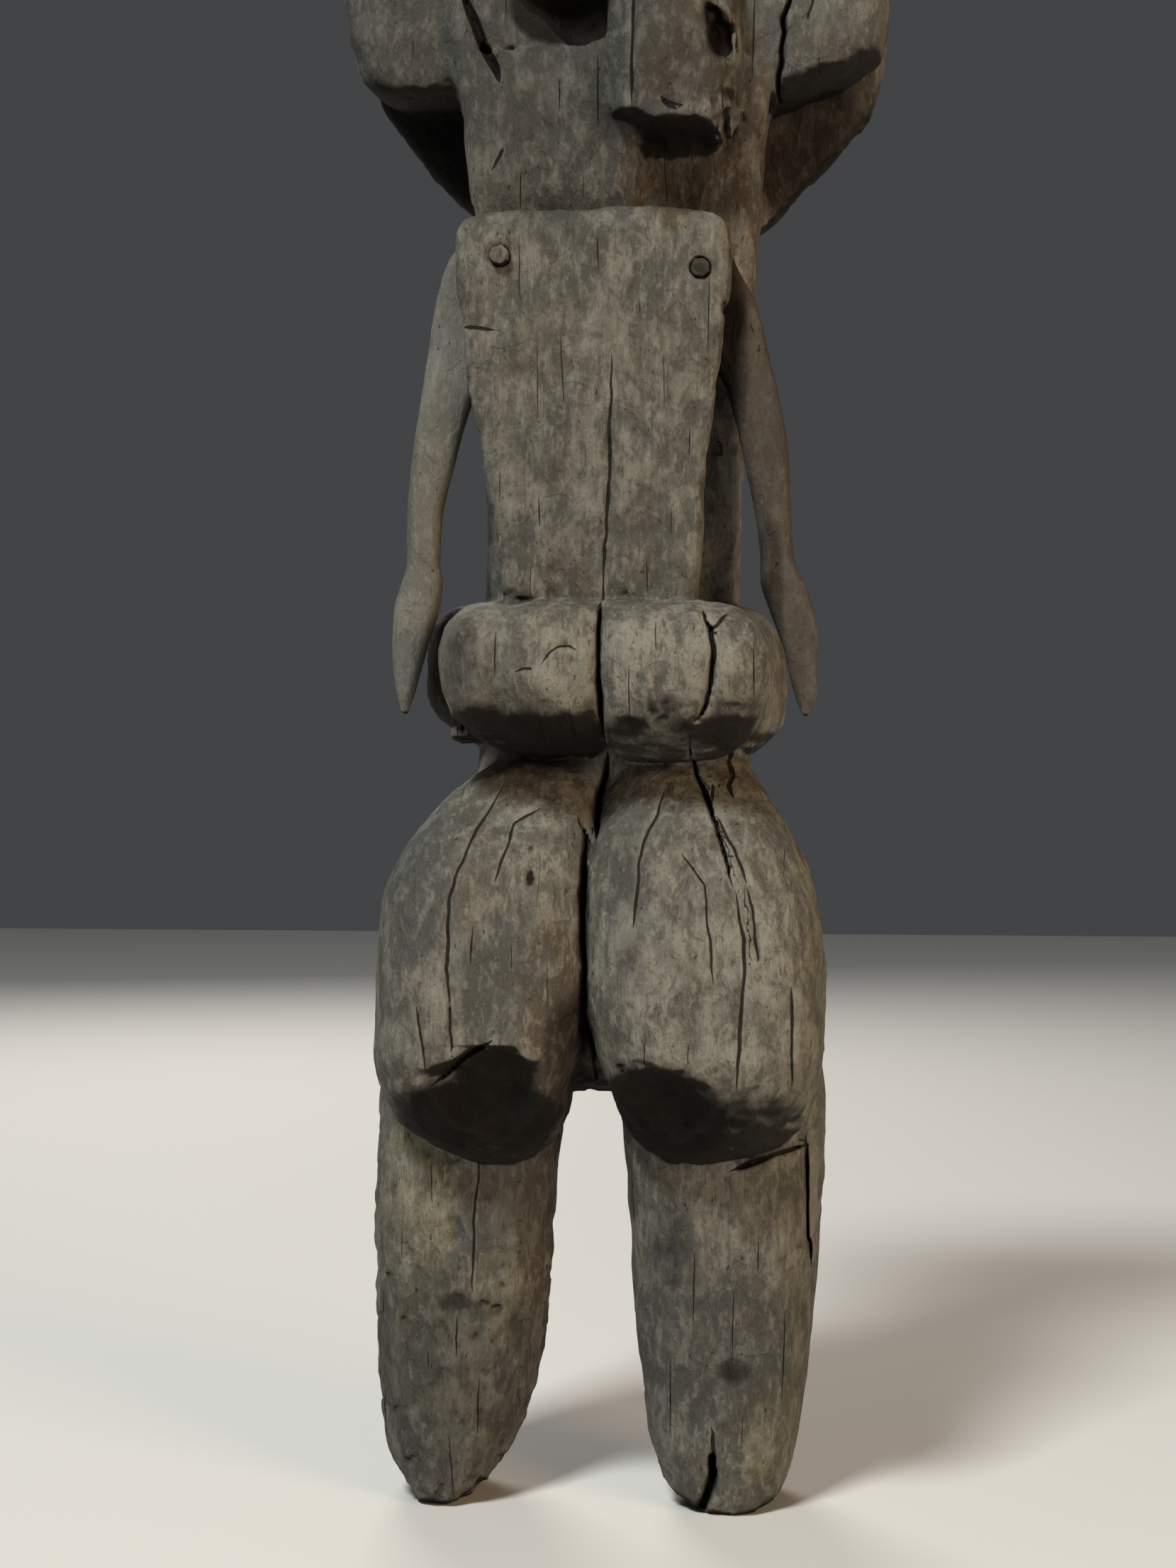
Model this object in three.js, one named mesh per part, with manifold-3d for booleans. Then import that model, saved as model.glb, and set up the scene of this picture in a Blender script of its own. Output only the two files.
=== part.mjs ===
// A weathered hardwood figure of a mother who carries a child on her back.
// Millimetres, +Z up. The child and the mother's back face -Y, her face looks along +Y.
// Sections are given in the log's own frame, whose Z axis runs up its pith.
// Mother and child are one log; two loose arms hang on round pegs at the child's shoulders.
import * as THREE from "three";
import { mergeVertices } from "three/addons/utils/BufferGeometryUtils.js";
import Module from "manifold-3d";

const wasm = await Module();
wasm.setup();

// Driving dimensions
const PEG_RADIUS = 6;
const CLEARANCE = 0.3; // gap all round between two pieces that touch
const SIDES = 24; // corners of a carved section, where it isn't given
const PEG_SIDES = 20;

// Depths that several pieces share, as places along Y
const BOARD_BACK = -70; // hidden face of the child's board
const BOARD_FACE = -90; // its visible face
const ARM_BACK = -66; // the arms' shoulder ends lie between board and trunk
const ARM_FRONT = -48;
const TRUNK_BACK = -43;
const PEG_DEPTH = 17; // how far a peg goes into the trunk
const LEFT_PEG = { x: -52, z: 779, proud: 4 };
const RIGHT_PEG = { x: 69, z: 769, proud: 0 };

// One horizontal section of a carved form: its height, its four reaches and how square it is.
function cut(z, left, right, back, front, square) {
  return { z, left, right, back, front, square };
}

// A closed skin over the sections, lowest first, with flat ends.
function loft(rings, sides = SIDES) {
  const points = [];
  const faces = [];
  const power = (v, e) => Math.sign(v) * Math.abs(v) ** e;
  for (const ring of rings) {
    const middleX = (ring.left + ring.right) / 2;
    const middleY = (ring.back + ring.front) / 2;
    for (let i = 0; i < sides; i++) {
      const angle = (2 * Math.PI * (i + 0.5)) / sides;
      const x = (power(Math.cos(angle), 2 / ring.square) * (ring.right - ring.left)) / 2;
      const y = (power(Math.sin(angle), 2 / ring.square) * (ring.front - ring.back)) / 2;
      points.push(middleX + x, middleY + y, ring.z);
    }
  }
  const corner = (ring, i) => ring * sides + (i % sides);
  for (let ring = 0; ring < rings.length - 1; ring++) {
    for (let i = 0; i < sides; i++) {
      const a = corner(ring, i);
      const b = corner(ring, i + 1);
      const c = corner(ring + 1, i + 1);
      const d = corner(ring + 1, i);
      faces.push(a, b, c, a, c, d);
    }
  }
  for (let i = 1; i < sides - 1; i++) {
    const top = rings.length - 1;
    faces.push(corner(0, 0), corner(0, i + 1), corner(0, i));
    faces.push(corner(top, 0), corner(top, i), corner(top, i + 1));
  }
  const geometry = new THREE.BufferGeometry();
  geometry.setAttribute("position", new THREE.Float32BufferAttribute(points, 3));
  geometry.setIndex(faces);
  return geometry;
}

function solidOf(geometry) {
  const bare = geometry.clone();
  bare.deleteAttribute("normal");
  bare.deleteAttribute("uv");
  const merged = mergeVertices(bare, 1e-4);
  const mesh = new wasm.Mesh({
    numProp: 3,
    vertProperties: new Float32Array(merged.attributes.position.array),
    triVerts: new Uint32Array(merged.index.array),
  });
  return new wasm.Manifold(mesh);
}

function geometryOf(solid) {
  const mesh = solid.getMesh();
  const geometry = new THREE.BufferGeometry();
  geometry.setAttribute("position", new THREE.BufferAttribute(mesh.vertProperties, 3));
  geometry.setIndex(new THREE.BufferAttribute(mesh.triVerts, 1));
  return geometry;
}

function joined(geometries) {
  return geometries.map(solidOf).reduce((all, next) => all.add(next));
}

// A round bar along Y.
function bar(x, z, radius, from, to) {
  const geometry = new THREE.CylinderGeometry(radius, radius, to - from, PEG_SIDES);
  geometry.translate(x, (from + to) / 2, z);
  return geometry;
}

// The mother's legs, worn to stumps with a small flat underside each.
function leftLeg() {
  return loft([
    cut(11, -109, -87, -42, 34, 2.2),
    cut(16, -120, -79, -45, 41, 2.3),
    cut(27, -131, -68, -48, 48, 2.4),
    cut(55, -140, -51, -51, 55, 2.5),
    cut(97, -143, -41, -52, 58, 2.6),
    cut(180, -145, -32, -52, 60, 2.6),
    cut(262, -144, -26, -50, 62, 2.7),
    cut(330, -130, -22, -40, 46, 2.7),
  ]);
}

function rightLeg() {
  return loft([
    cut(11, 60, 102, -42, 34, 2.4),
    cut(16, 48, 112, -45, 41, 2.5),
    cut(27, 38, 118, -48, 48, 2.6),
    cut(55, 29, 125, -51, 55, 2.6),
    cut(97, 24, 131, -52, 58, 2.6),
    cut(180, 18, 138, -52, 60, 2.6),
    cut(262, 13, 142, -50, 62, 2.7),
    cut(330, 18, 132, -40, 46, 2.7),
  ]);
}

function pelvis() {
  return loft(
    [
      cut(268, -104, 104, -24, 36, 2.6),
      cut(276, -126, 128, -38, 54, 2.7),
      cut(296, -135, 140, -48, 63, 2.7),
      cut(340, -135, 142, -54, 67, 2.6),
      cut(400, -128, 136, -56, 68, 2.6),
      cut(440, -104, 113, -56, 67, 2.6),
      cut(470, -79, 94, -52, 65, 2.7),
      cut(500, -74, 84, -46, 62, 2.8),
    ],
    28,
  );
}

// The mother's overhanging buttocks: the undersides slope back in to the legs.
function leftButtock() {
  return loft([
    cut(227, -78, -44, -60, 10, 2.2),
    cut(238, -104, -26, -76, 10, 2.4),
    cut(256, -123, -17, -95, 10, 2.6),
    cut(282, -131, -11, -114, 10, 2.8),
    cut(300, -133, -4, -119, 10, 2.9),
    cut(340, -133, 5, -119, 10, 2.9),
    cut(385, -131, 8, -115, 10, 2.8),
    cut(422, -117, 8, -104, 10, 2.7),
    cut(447, -99, 9, -86, 10, 2.5),
    cut(466, -79, 7, -66, 10, 2.4),
    cut(478, -60, 0, -48, 10, 2.2),
  ]);
}

function rightButtock() {
  return loft([
    cut(228, 42, 84, -60, 10, 2.2),
    cut(240, 26, 118, -77, 10, 2.4),
    cut(258, 17, 133, -96, 10, 2.6),
    cut(282, 9, 140, -114, 10, 2.8),
    cut(300, 3, 142, -119, 10, 2.9),
    cut(340, -6, 142, -119, 10, 2.9),
    cut(385, -8, 139, -115, 10, 2.8),
    cut(422, -5, 125, -105, 10, 2.7),
    cut(447, 1, 112, -88, 10, 2.5),
    cut(468, 8, 97, -66, 10, 2.4),
    cut(482, 20, 82, -48, 10, 2.2),
  ]);
}

// Trunk, neck and skull of the mother in one rising form.
function trunk() {
  return loft(
    [
      cut(470, -76, 88, -46, 62, 2.8),
      cut(520, -74, 83, TRUNK_BACK, 60, 3),
      cut(578, -75, 86, TRUNK_BACK, 60, 3),
      cut(670, -76, 89, TRUNK_BACK, 61, 3),
      cut(771, -79, 96, TRUNK_BACK, 62, 3),
      cut(830, -81, 101, -46, 60, 3),
      cut(875, -85, 106, -50, 60, 2.9),
      cut(910, -91, 110, -54, 62, 2.8),
      cut(960, -96, 114, -58, 66, 2.6),
      cut(1010, -92, 110, -55, 64, 2.4),
      cut(1048, -72, 90, -44, 52, 2.3),
      cut(1072, -42, 60, -26, 34, 2.2),
      cut(1084, -12, 30, -6, 14, 2),
    ],
    28,
  );
}

// The nape's left half stands proud of the right half by a step.
function nape() {
  return loft(
    [
      cut(806, -74, 29, -56, -20, 5),
      cut(830, -78, 30, -62, -20, 5),
      cut(870, -80, 31, -64, -20, 5),
      cut(930, -78, 34, -66, -20, 4),
      cut(985, -66, 40, -62, -20, 3),
    ],
    16,
  );
}

// What is left of the child's head: a worn lump with an undercut edge.
function childHead() {
  return loft(
    [
      cut(848, 56, 88, -84, -30, 3),
      cut(856, 32, 92, -91, -30, 3.2),
      cut(868, 13, 94, -95, -30, 3),
      cut(905, 9, 95, -95, -30, 2.8),
      cut(950, 9, 93, -91, -30, 2.6),
      cut(985, 16, 82, -79, -30, 2.3),
      cut(1005, 28, 64, -60, -30, 2.2),
    ],
    20,
  );
}

// A wing of the mother's hair: a thick block behind, over a thinner plate that reaches lower.
function leftWingBlock() {
  return loft(
    [
      cut(889, -124, -50, -34, 10, 3),
      cut(895, -139, -50, -38, 14, 3.6),
      cut(908, -151, -50, -40, 16, 4),
      cut(930, -157, -50, -41, 16, 4),
      cut(965, -160, -50, -41, 16, 4),
      cut(1005, -154, -50, -40, 16, 4),
      cut(1035, -134, -50, -38, 14, 3.6),
      cut(1050, -106, -50, -34, 10, 3),
    ],
    22,
  );
}

function leftWingPlate() {
  return loft(
    [
      cut(826, -84, -50, 12, 40, 3),
      cut(848, -107, -50, 9, 43, 3.6),
      cut(872, -128, -50, 8, 44, 4),
      cut(905, -149, -50, 8, 45, 4),
      cut(940, -157, -50, 8, 46, 4),
      cut(985, -158, -50, 8, 46, 4),
      cut(1030, -144, -50, 8, 45, 4),
      cut(1062, -108, -50, 10, 42, 3.4),
      cut(1070, -84, -50, 12, 38, 3),
    ],
    18,
  );
}

function rightWingBlock() {
  return loft(
    [
      cut(883, 70, 118, -36, 10, 4),
      cut(892, 70, 143, -39, 14, 4),
      cut(900, 70, 164, -40, 16, 4),
      cut(912, 70, 178, -41, 16, 4),
      cut(935, 70, 182, -41, 16, 4),
      cut(965, 70, 183, -41, 16, 4),
      cut(1005, 70, 176, -40, 16, 4),
      cut(1035, 70, 155, -38, 14, 3.6),
      cut(1050, 70, 126, -34, 10, 3),
    ],
    22,
  );
}

function rightWingPlate() {
  return loft(
    [
      cut(814, 70, 104, 12, 40, 3),
      cut(840, 70, 129, 9, 43, 3.6),
      cut(865, 70, 153, 8, 44, 4),
      cut(893, 70, 173, 8, 45, 4),
      cut(930, 70, 180, 8, 46, 4),
      cut(985, 70, 181, 8, 46, 4),
      cut(1030, 70, 164, 8, 45, 4),
      cut(1062, 70, 128, 10, 42, 3.4),
      cut(1070, 70, 104, 12, 38, 3),
    ],
    18,
  );
}

// The child's torso, a flat board that widens to the shoulders.
function childBoard() {
  return loft([
    cut(556, -50, 65, BOARD_FACE - 2, BOARD_BACK, 5),
    cut(571, -51, 66, BOARD_FACE - 2, BOARD_BACK, 5),
    cut(610, -56, 69, BOARD_FACE - 1, BOARD_BACK, 5),
    cut(651, -63, 72, BOARD_FACE - 1, BOARD_BACK, 5),
    cut(690, -72, 78, BOARD_FACE, BOARD_BACK, 5),
    cut(734, -75, 83, BOARD_FACE, BOARD_BACK, 5),
    cut(776, -80, 87, BOARD_FACE, BOARD_BACK, 5),
    cut(794, -79, 85, BOARD_FACE, BOARD_BACK, 5),
    cut(803, -74, 74, BOARD_FACE + 2, BOARD_BACK, 4.5),
    cut(809, -60, 46, BOARD_FACE + 5, BOARD_BACK - 1, 4),
  ]);
}

// The wood left between the board and the mother's trunk, with a slot for an arm on each side.
function boardWeb() {
  return loft(
    [cut(530, -46, 58, -84, -36, 5), cut(640, -32, 42, -84, -36, 5), cut(796, -32, 42, -84, -36, 5)],
    16,
  );
}

function childLeftButtock() {
  return loft([
    cut(474, -46, 8, -64, -40, 2.4),
    cut(486, -63, 16, -88, -44, 2.6),
    cut(500, -77, 21, -112, -48, 2.8),
    cut(516, -84, 23, -129, -52, 3),
    cut(536, -86, 24, -137, -54, 3),
    cut(553, -83, 23, -133, -54, 3),
    cut(565, -74, 22, -121, -54, 3),
    cut(572, -58, 19, -104, -56, 3),
  ]);
}

function childRightButtock() {
  return loft([
    cut(472, 16, 74, -64, -40, 2.4),
    cut(484, 10, 90, -88, -44, 2.6),
    cut(499, 5, 104, -112, -48, 2.8),
    cut(515, 3, 111, -129, -52, 3),
    cut(534, 2, 113, -137, -54, 3),
    cut(552, 3, 108, -133, -54, 3),
    cut(564, 4, 95, -121, -54, 3),
    cut(571, 7, 74, -104, -56, 3),
  ]);
}

// The child's thighs, which clasp the mother's waist and end at her front.
function leftThigh() {
  return loft([
    cut(486, -82, -36, -36, 34, 2.2),
    cut(495, -99, -30, -42, 54, 2.4),
    cut(512, -111, -26, -46, 70, 2.6),
    cut(534, -114, -24, -47, 76, 2.6),
    cut(556, -111, -26, -46, 70, 2.6),
    cut(570, -100, -30, -42, 54, 2.5),
    cut(576, -86, -36, -36, 40, 2.3),
  ]);
}

function rightThigh() {
  return loft([
    cut(472, 42, 86, -36, 34, 2.2),
    cut(482, 36, 103, -42, 54, 2.4),
    cut(500, 32, 114, -46, 70, 2.6),
    cut(524, 30, 117, -47, 76, 2.6),
    cut(550, 32, 114, -46, 70, 2.6),
    cut(566, 36, 103, -42, 54, 2.5),
    cut(574, 42, 88, -36, 40, 2.3),
  ]);
}

// The mother's plain face: an oval mass, a brow, a nose, closed eyes and a small mouth.
function face() {
  const middle = 9;
  const across = (z, half, back, front, square) =>
    cut(z, middle - half, middle + half, back, front, square);
  const oval = loft([
    across(838, 22, 20, 68, 2.2),
    across(850, 42, 20, 82, 2.3),
    across(880, 62, 20, 91, 2.4),
    across(930, 72, 20, 94, 2.4),
    across(980, 72, 20, 92, 2.4),
    across(1022, 60, 20, 84, 2.3),
    across(1052, 38, 20, 66, 2.2),
  ]);
  const brow = loft(
    [across(962, 50, 70, 92, 2.6), across(968, 56, 70, 99, 2.6), across(978, 54, 70, 94, 2.6)],
    16,
  );
  const nose = loft(
    [
      across(908, 8, 80, 100, 2.4),
      across(914, 13, 80, 112, 2.4),
      across(924, 11, 80, 111, 2.4),
      across(968, 7, 80, 100, 2.4),
    ],
    12,
  );
  const mouth = loft(
    [across(880, 14, 80, 92, 2.4), across(886, 22, 80, 99, 2.6), across(893, 18, 80, 94, 2.4)],
    14,
  );
  const eye = (x) =>
    loft(
      [
        cut(939, x - 9, x + 9, 70, 94, 2.2),
        cut(946, x - 17, x + 17, 70, 98, 2.3),
        cut(953, x - 9, x + 9, 70, 95, 2.2),
      ],
      12,
    );
  return [oval, brow, nose, mouth, eye(middle - 33), eye(middle + 33)];
}

// The mother's front: two breasts and a rounded belly, left plain.
function front() {
  const breast = (x) =>
    loft(
      [
        cut(662, x - 14, x + 14, 40, 68, 2.2),
        cut(672, x - 25, x + 25, 40, 84, 2.2),
        cut(690, x - 28, x + 28, 40, 92, 2.2),
        cut(716, x - 22, x + 22, 40, 78, 2.2),
        cut(738, x - 12, x + 12, 40, 64, 2.2),
      ],
      16,
    );
  const belly = loft(
    [
      cut(500, -40, 50, 30, 66, 2.3),
      cut(535, -56, 64, 30, 82, 2.3),
      cut(575, -58, 66, 30, 88, 2.3),
      cut(615, -50, 58, 30, 78, 2.3),
      cut(645, -34, 42, 30, 62, 2.3),
    ],
    20,
  );
  return [breast(-34), breast(46), belly];
}

// The hollow beside the child's head and the smaller one at its right.
function napeHollows() {
  const large = loft(
    [
      cut(905, -12, 6, -90, -48, 2.4),
      cut(918, -26, 10, -90, -43, 2.6),
      cut(945, -44, 10, -90, -42, 2.6),
      cut(966, -40, -4, -90, -50, 2.4),
    ],
    14,
  );
  const small = loft(
    [
      cut(901, 78, 90, -110, -66, 2.4),
      cut(914, 75, 92, -110, -62, 2.4),
      cut(932, 69, 83, -110, -72, 2.4),
    ],
    12,
  );
  return [large, small];
}

function leftArm() {
  return loft(
    [
      cut(801, -65, -47, ARM_BACK + 2, ARM_FRONT - 2, 2.4),
      cut(796, -76, -39, ARM_BACK, ARM_FRONT, 2.6),
      cut(783, -89, -37, ARM_BACK, ARM_FRONT, 2.8),
      cut(760, -96, -42, ARM_BACK, ARM_FRONT, 2.8),
      cut(725, -102, -60, ARM_BACK, ARM_FRONT, 2.8),
      cut(691, -107, -75, -69, -49, 2.6),
      cut(654, -112, -85, -71, -50, 2.4),
      cut(622, -114, -92, -72, -51, 2.3),
      cut(596, -114, -93, -73, -52, 2.3),
      cut(583, -117, -91, -76, -53, 2.5),
      cut(568, -121, -93, -77, -54, 2.5),
      cut(545, -122, -100, -77, -56, 2.4),
      cut(520, -120, -107, -76, -59, 2.3),
      cut(503, -116, -112, -71, -64, 2.2),
    ].reverse(),
    20,
  );
}

function rightArm() {
  return loft(
    [
      cut(791, 58, 77, ARM_BACK + 2, ARM_FRONT - 2, 2.4),
      cut(786, 50, 84, ARM_BACK, ARM_FRONT, 2.6),
      cut(772, 47, 91, ARM_BACK, ARM_FRONT, 2.8),
      cut(752, 54, 101, ARM_BACK, ARM_FRONT, 2.8),
      cut(725, 70, 108, ARM_BACK, ARM_FRONT, 2.8),
      cut(695, 84, 115, -69, -49, 2.6),
      cut(658, 93, 121, -71, -50, 2.4),
      cut(630, 99, 122, -72, -51, 2.3),
      cut(598, 103, 124, -73, -52, 2.3),
      cut(585, 103, 129, -76, -53, 2.5),
      cut(570, 107, 135, -77, -54, 2.5),
      cut(545, 116, 139, -77, -56, 2.4),
      cut(518, 123, 139, -76, -59, 2.3),
      cut(501, 129, 133, -71, -64, 2.2),
    ].reverse(),
    20,
  );
}

function pegBore(peg) {
  const end = TRUNK_BACK + PEG_DEPTH + CLEARANCE;
  return solidOf(bar(peg.x, peg.z, PEG_RADIUS + CLEARANCE, BOARD_FACE - 20, end));
}

function pegBar(peg) {
  return bar(peg.x, peg.z, PEG_RADIUS, BOARD_FACE - peg.proud, TRUNK_BACK + PEG_DEPTH);
}

function figure() {
  const parts = [
    trunk(),
    pelvis(),
    leftLeg(),
    rightLeg(),
    leftButtock(),
    rightButtock(),
    nape(),
    childHead(),
    leftWingBlock(),
    leftWingPlate(),
    rightWingBlock(),
    rightWingPlate(),
    childBoard(),
    boardWeb(),
    childLeftButtock(),
    childRightButtock(),
    leftThigh(),
    rightThigh(),
    ...face(),
    ...front(),
  ];
  let solid = joined(parts);
  for (const hollow of napeHollows()) solid = solid.subtract(solidOf(hollow));
  return solid.subtract(pegBore(LEFT_PEG)).subtract(pegBore(RIGHT_PEG));
}

// Weathered wood in the tones of the trunk, the smoother arms and the pegs.
const WEATHERED = new THREE.MeshStandardMaterial({ color: 0x8a8271, roughness: 0.92, metalness: 0 });
const SMOOTHED = new THREE.MeshStandardMaterial({ color: 0x938a78, roughness: 0.8, metalness: 0 });
const PEG_WOOD = new THREE.MeshStandardMaterial({ color: 0x6f675a, roughness: 0.85, metalness: 0 });

function piece(name, solid, material) {
  const mesh = new THREE.Mesh(geometryOf(solid), material);
  mesh.name = name;
  return mesh;
}

const log = new THREE.Group();
log.add(piece("carved_figure", figure(), WEATHERED));
log.add(piece("left_arm", solidOf(leftArm()).subtract(pegBore(LEFT_PEG)), SMOOTHED));
log.add(piece("right_arm", solidOf(rightArm()).subtract(pegBore(RIGHT_PEG)), SMOOTHED));
log.add(piece("left_arm_peg", solidOf(pegBar(LEFT_PEG)), PEG_WOOD));
log.add(piece("right_arm_peg", solidOf(pegBar(RIGHT_PEG)), PEG_WOOD));

// The origin lies under the middle of the whole figure, at the level of the stumps' undersides.
const reach = new THREE.Box3().setFromObject(log);
const middle = reach.getCenter(new THREE.Vector3());
log.position.set(-middle.x, -middle.y, -reach.min.z);

const part = new THREE.Group();
part.add(log);
export default part;
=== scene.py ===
"""The looks of a weathered hardwood figure of a mother who carries a child on her back.

The wood is carved as a distance field on a grid, in millimetres in the log's own frame, then
meshed and moved to the frame of the CAD model. The log's Z axis runs up its pith, and the child
and the mother's back face -Y.
"""
import math

import bpy
import numpy as np
from mathutils.kdtree import KDTree
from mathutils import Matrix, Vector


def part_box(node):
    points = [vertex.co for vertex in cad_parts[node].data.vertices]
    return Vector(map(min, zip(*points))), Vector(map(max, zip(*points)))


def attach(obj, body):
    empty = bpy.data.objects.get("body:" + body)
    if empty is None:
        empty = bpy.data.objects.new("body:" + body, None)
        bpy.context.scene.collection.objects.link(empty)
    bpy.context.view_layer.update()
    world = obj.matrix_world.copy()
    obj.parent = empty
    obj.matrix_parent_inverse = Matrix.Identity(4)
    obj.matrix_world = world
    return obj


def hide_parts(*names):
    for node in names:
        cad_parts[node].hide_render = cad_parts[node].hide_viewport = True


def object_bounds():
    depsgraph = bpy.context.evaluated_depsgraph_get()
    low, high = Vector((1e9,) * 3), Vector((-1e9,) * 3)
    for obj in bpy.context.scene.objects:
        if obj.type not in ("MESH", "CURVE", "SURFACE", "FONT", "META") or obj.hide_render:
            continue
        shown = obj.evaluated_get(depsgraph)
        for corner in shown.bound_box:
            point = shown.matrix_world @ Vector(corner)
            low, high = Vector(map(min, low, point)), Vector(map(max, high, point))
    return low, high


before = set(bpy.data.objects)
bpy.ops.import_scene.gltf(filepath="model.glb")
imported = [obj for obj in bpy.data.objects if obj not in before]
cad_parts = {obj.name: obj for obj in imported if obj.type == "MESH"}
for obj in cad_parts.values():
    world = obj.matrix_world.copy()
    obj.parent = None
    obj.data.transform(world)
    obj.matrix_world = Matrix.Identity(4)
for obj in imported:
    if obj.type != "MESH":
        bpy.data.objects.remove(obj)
cad_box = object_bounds()

# Depths and places that the pieces share with the CAD model, in the log's frame
BOARD_BACK = -70
BOARD_FACE = -90
ARM_BACK = -66
ARM_FRONT = -48
TRUNK_BACK = -43
PEG_RADIUS = 6
PEG_DEPTH = 17
PEG_GAP = 0.3
ARM_PEG_GAP = 0.6
LEFT_PEG = {"x": -52, "z": 779, "proud": 4}
RIGHT_PEG = {"x": 69, "z": 769, "proud": 0}

# Grids: their steps in millimetres, and how far round a form its distances are worked out
LOG_STEP = 1.6
ARM_STEP = 0.9
PEG_STEP = 0.6
FINE_STEP = 0.5  # between the heights at which a form's sections are filled in
MARGIN = 18
FAR = 40.0  # the distance where no wood is near
ARM_ROOM = 8  # between an arm and its grid's sides
PEG_ROOM = 9  # from a peg's middle to its grid's sides
LOG_BOX = (-172, -148, 4), (192, 122, 1094)
HEAD_BOX = (10, -110, 820), (110, -40, 970)  # the child's torn head
LOBE_BOX = (-100, -145, 480), (125, -90, 572)  # the child's buttocks
LOG_TRIANGLES = 196000
ARM_TRIANGLES = 30000
PEG_TRIANGLES = 6000

# Cracks are cut into the -Y side, between these depths
CRACK_BACK = -150
CRACK_FRONT = -15
CRACK_STEP = 1.5  # along a crack's path
GROOVE_WIDTH = 3.0
GROOVE_DEPTH = 2.2
CRACK_SPREAD = 1.1  # deep cracks are cut this much wider than they are drawn


def log_shift():
    """Where the log frame's origin lies in the row frame, found from the left peg's box."""
    low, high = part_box("left_arm_peg")
    x = 500 * (low.x + high.x) - LEFT_PEG["x"]
    y = 1000 * low.y - (BOARD_FACE - LEFT_PEG["proud"])
    z = 500 * (low.z + high.z) - LEFT_PEG["z"]
    return np.array([x, y, z])


SHIFT = log_shift()


def smooth_min(a, b, blend):
    share = np.clip(0.5 + 0.5 * (b - a) / blend, 0, 1)
    return b + (a - b) * share - blend * share * (1 - share)


def smooth_max(a, b, blend):
    return -smooth_min(-a, -b, blend)


def steady_curve(heights, values, at):
    """A curve through the values that never swings past them."""
    span = np.diff(heights)
    rise = np.diff(values) / span
    before, after = rise[:-1], rise[1:]
    total = np.where(before + after == 0, 1, before + after)
    inner = np.where(before * after > 0, 2 * before * after / total, 0)
    slope = np.concatenate([rise[:1], inner, rise[-1:]])
    i = np.clip(np.searchsorted(heights, at) - 1, 0, len(span) - 1)
    t = (at - heights[i]) / span[i]
    return (
        values[i] * (1 + 2 * t) * (1 - t) ** 2
        + values[i + 1] * t**2 * (3 - 2 * t)
        + slope[i] * span[i] * t * (1 - t) ** 2
        + slope[i + 1] * span[i] * t**2 * (t - 1)
    )


class Noise:
    """Smooth random values from -1 to 1 over space, the same in every run."""

    SIZE = 64

    def __init__(self, seed):
        random = np.random.default_rng(seed)
        self.table = random.uniform(-1, 1, (self.SIZE,) * 3).astype(np.float32)
        self.offset = random.uniform(0, self.SIZE, 3)

    def __call__(self, points, scale, octaves=1):
        total = 0
        weight = 1.0
        for octave in range(octaves):
            spot = points * (2.0**octave / np.array(scale)) + self.offset * (octave + 1)
            total = total + weight * self.single(spot)
            weight *= 0.5
        return total

    def single(self, spot):
        floor = np.floor(spot)
        t = (spot - floor).astype(np.float32)
        t = t * t * (3 - 2 * t)
        low = floor.astype(np.int32) % self.SIZE
        high = (low + 1) % self.SIZE
        values = self.table.ravel()
        (x0, y0, z0), (x1, y1, z1) = (
            (side[:, 0] * self.SIZE**2, side[:, 1] * self.SIZE, side[:, 2]) for side in (low, high)
        )

        def between(a, b, axis):
            return a + (b - a) * t[:, axis]

        def across(y, z):
            return between(values[x0 + y + z], values[x1 + y + z], 0)

        lower = between(across(y0, z0), across(y1, z0), 1)
        upper = between(across(y0, z1), across(y1, z1), 1)
        return between(lower, upper, 2)


# The corners of a grid's cell
CORNERS = [(a, b, c) for a in (0, 1) for b in (0, 1) for c in (0, 1)]


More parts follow.
